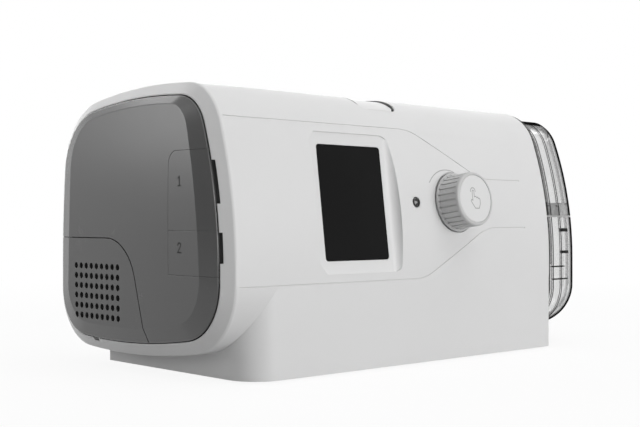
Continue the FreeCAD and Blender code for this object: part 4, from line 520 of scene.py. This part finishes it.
def clearTank(name, look):
    finish = Finish(name, IOR=look["ior"], Transmission_Weight=1.0)
    x, z = finish.axis("X") * perMetre, finish.axis("Z") * perMetre

    def stripe(value, middle, width, soft):
        return 1 - finish.between(finish.absolute(value - middle), width / 2, width / 2 + soft)

    # painted shade lines at the ribs, and the printed level marks
    lines = sum(stripe(x, middle, width, look["ribShadeSoft"]) for middle, width in look["ribShade"])
    for level, tall, start, end in look["levels"]:
        row = stripe(z, level, tall, look["levelSoft"])
        row = row * finish.between(x, start, start + look["levelEnd"])
        lines = lines + row * (1 - finish.between(x, end, end + look["levelEnd"]))
    # a painted shade band near the sleeve
    start, full, end = look["collar"]
    collar = finish.between(x, start, full) * (1 - finish.between(x, full, end))
    # painted shade where the tank is seen edge-on
    edgeOnShade = finish.between(finish.facing(blend=0.5), *look["edge"])
    share = finish.between(edgeOnShade * look["edgeShare"] + lines * look["lineShare"]
                           + collar * look["collarShare"], 0, 1)
    scuffs = finish.patches(look["scuffScale"], look["scuffReach"], detail=5, rough=0.65)
    scuffedEdges = look["scuffRough"] * scuffs * finish.edges(look["edgeRadius"] * mm)
    ripple = finish.noise(look["waveScale"], detail=2, rough=0.4)
    soft = finish.rounded(look["soften"] * mm)
    finish.feed(
        Base_Color=finish.mix(scuffs * look["scuff"], rgb(look["clear"]), rgb(look["scuffed"])),
        Roughness=look["roughness"] + scuffedEdges,
        Normal=finish.bump(ripple, look["depth"] * mm, look["strength"], soft),
    )
    # the painted shade is a dark diffuse mixed in, which also draws the printed level marks
    dark = finish.add("BsdfDiffuse", {}, {"Color": rgb(look["dark"])})
    finish.show(finish.blend(share, finish.surface, dark))
    return finish.material


materials["screen_glass"] = displayGlass("screen_glass_finish", display)
materials["clear_tank"] = clearTank("clear_tank_finish", tankLook)
print("with display and tank:", len(materials))


# Each node takes the finish of its slot, and the doors take their own

slotOf = {row["node"]: row["material_slot"] for row in frame["record"]["subparts"]}
for nodeName, piece in nodes.items():
    piece.data.materials.clear()
    piece.data.materials.append(doorFinishes.get(nodeName, materials[slotOf[nodeName]]))
print("nodes dressed:", len(nodes))


# Studio: a wide pale floor, a white surround with a dark card at the left end, lamps and a camera

studio = {
    "floorSize": 8.0, "floorBounce": 0.5, "floorRoughness": 0.9, "floorGloss": 0.1,
    "shadowShare": 0.1, "shadowReach": (0.3, 0.75),
    "ambient": 0.15, "flag": 0.05, "flagReach": (-0.97, -0.8),
    "lampAim": (0, 0, 0.06),
    "eye": (-0.4289, -0.44721, 0.072), "sight": (0.6778, 0.7354, 0.0),
    "lens": 62.8, "shiftY": 0.0094, "clip": (0.01, 30),
}
lamps = {
    "frontTop": {"from": (0.1, -0.8, 1.35), "size": 1.0, "power": 5.3},
    "top": {"from": (0.1, -0.05, 1.5), "size": 1.0, "power": 4.8},
    "frontLow": {"from": (0.35, -1.5, 0.25), "size": 0.8, "power": 13.4},
    "left": {"from": (-1.4, -0.5, 0.6), "size": 0.8, "power": 1.7},
    "backTop": {"from": (-0.36, 0.97, 0.93), "size": 0.4, "power": 1.5},
    "backFill": {"from": (0.55, 1.5, 0.6), "size": 1.0, "power": 6.5},
    "rightFill": {"from": (1.5, 0.9, 0.9), "size": 1.0, "power": 2.4},
    "panelCard": {"from": (-1.02, 0.955, 0.44), "size": 0.5, "power": 2.3},
}
white = rgb(1.0)
straightRays = ("Camera", "Glossy", "Transmission")  # rays that show the surround as plain white


def facingAlong(direction):
    return Vector(direction).to_track_quat("-Z", "Y").to_euler()


def makeFloor():
    half = studio["floorSize"] / 2
    corners = [(-half, -half, 0), (half, -half, 0), (half, half, 0), (-half, half, 0)]
    mesh = bpy.data.meshes.new("floor")
    mesh.from_pydata(corners, [], [(0, 1, 2, 3)])
    floor = bpy.data.objects.new("floor", mesh)
    bpy.context.scene.collection.objects.link(floor)
    finish = Finish("floor_finish", Roughness=studio["floorRoughness"],
                    Specular_IOR_Level=studio["floorGloss"])
    seen = finish.seen(*straightRays)
    finish.feed(Base_Color=finish.mix(seen, rgb(studio["floorBounce"]), white))
    away = finish.add("VectorMath", {"operation": "LENGTH"}, {0: finish.place()}, output="Value")
    near = 1 - finish.between(away, *studio["shadowReach"])
    glow = finish.add("Emission", {}, {"Color": white, "Strength": 1.0})
    finish.show(finish.blend(seen * (1 - near * studio["shadowShare"]), finish.surface, glow))
    mesh.materials.append(finish.material)


def makeWorld():
    world = bpy.data.worlds.new("studio")
    bpy.context.scene.world = world
    world.use_nodes = True
    graph = Graph(world.node_tree)
    graph.tree.nodes.remove(graph.tree.nodes["Background"])
    ambient, plain, flag = (graph.add("Background", {}, {"Color": white, "Strength": strength})
                            for strength in (studio["ambient"], 1.0, studio["flag"]))
    direction = graph.add("TexCoord", output="Generated")
    toRight = graph.add("SeparateXYZ", {}, {0: direction}, output="X")
    dark = graph.seen("Glossy") * (1 - graph.between(toRight, *studio["flagReach"]))
    shown = graph.blend(dark, plain, flag)  # the dark card, for reflections only
    graph.show(graph.blend(graph.seen(*straightRays), ambient, shown), "World")


def makeLamps():
    for name, look in lamps.items():
        lamp = bpy.data.lights.new(name, "AREA")
        lamp.shape = "SQUARE"
        lamp.size = look["size"]
        lamp.energy = look["power"]
        holder = bpy.data.objects.new(name, lamp)
        holder.location = look["from"]
        holder.rotation_euler = facingAlong(Vector(studio["lampAim"]) - Vector(look["from"]))
        bpy.context.scene.collection.objects.link(holder)


def makeCamera():
    data = bpy.data.cameras.new("view")
    data.lens = studio["lens"]
    data.shift_y = studio["shiftY"]
    data.clip_start, data.clip_end = studio["clip"]
    camera = bpy.data.objects.new("view", data)
    camera.location = studio["eye"]
    camera.rotation_euler = facingAlong(studio["sight"])
    bpy.context.scene.collection.objects.link(camera)
    bpy.context.scene.camera = camera


makeFloor()
makeWorld()
makeLamps()
makeCamera()
bpy.context.scene.view_settings.view_transform = "Standard"
print("studio ready:", len(lamps), "lamps")
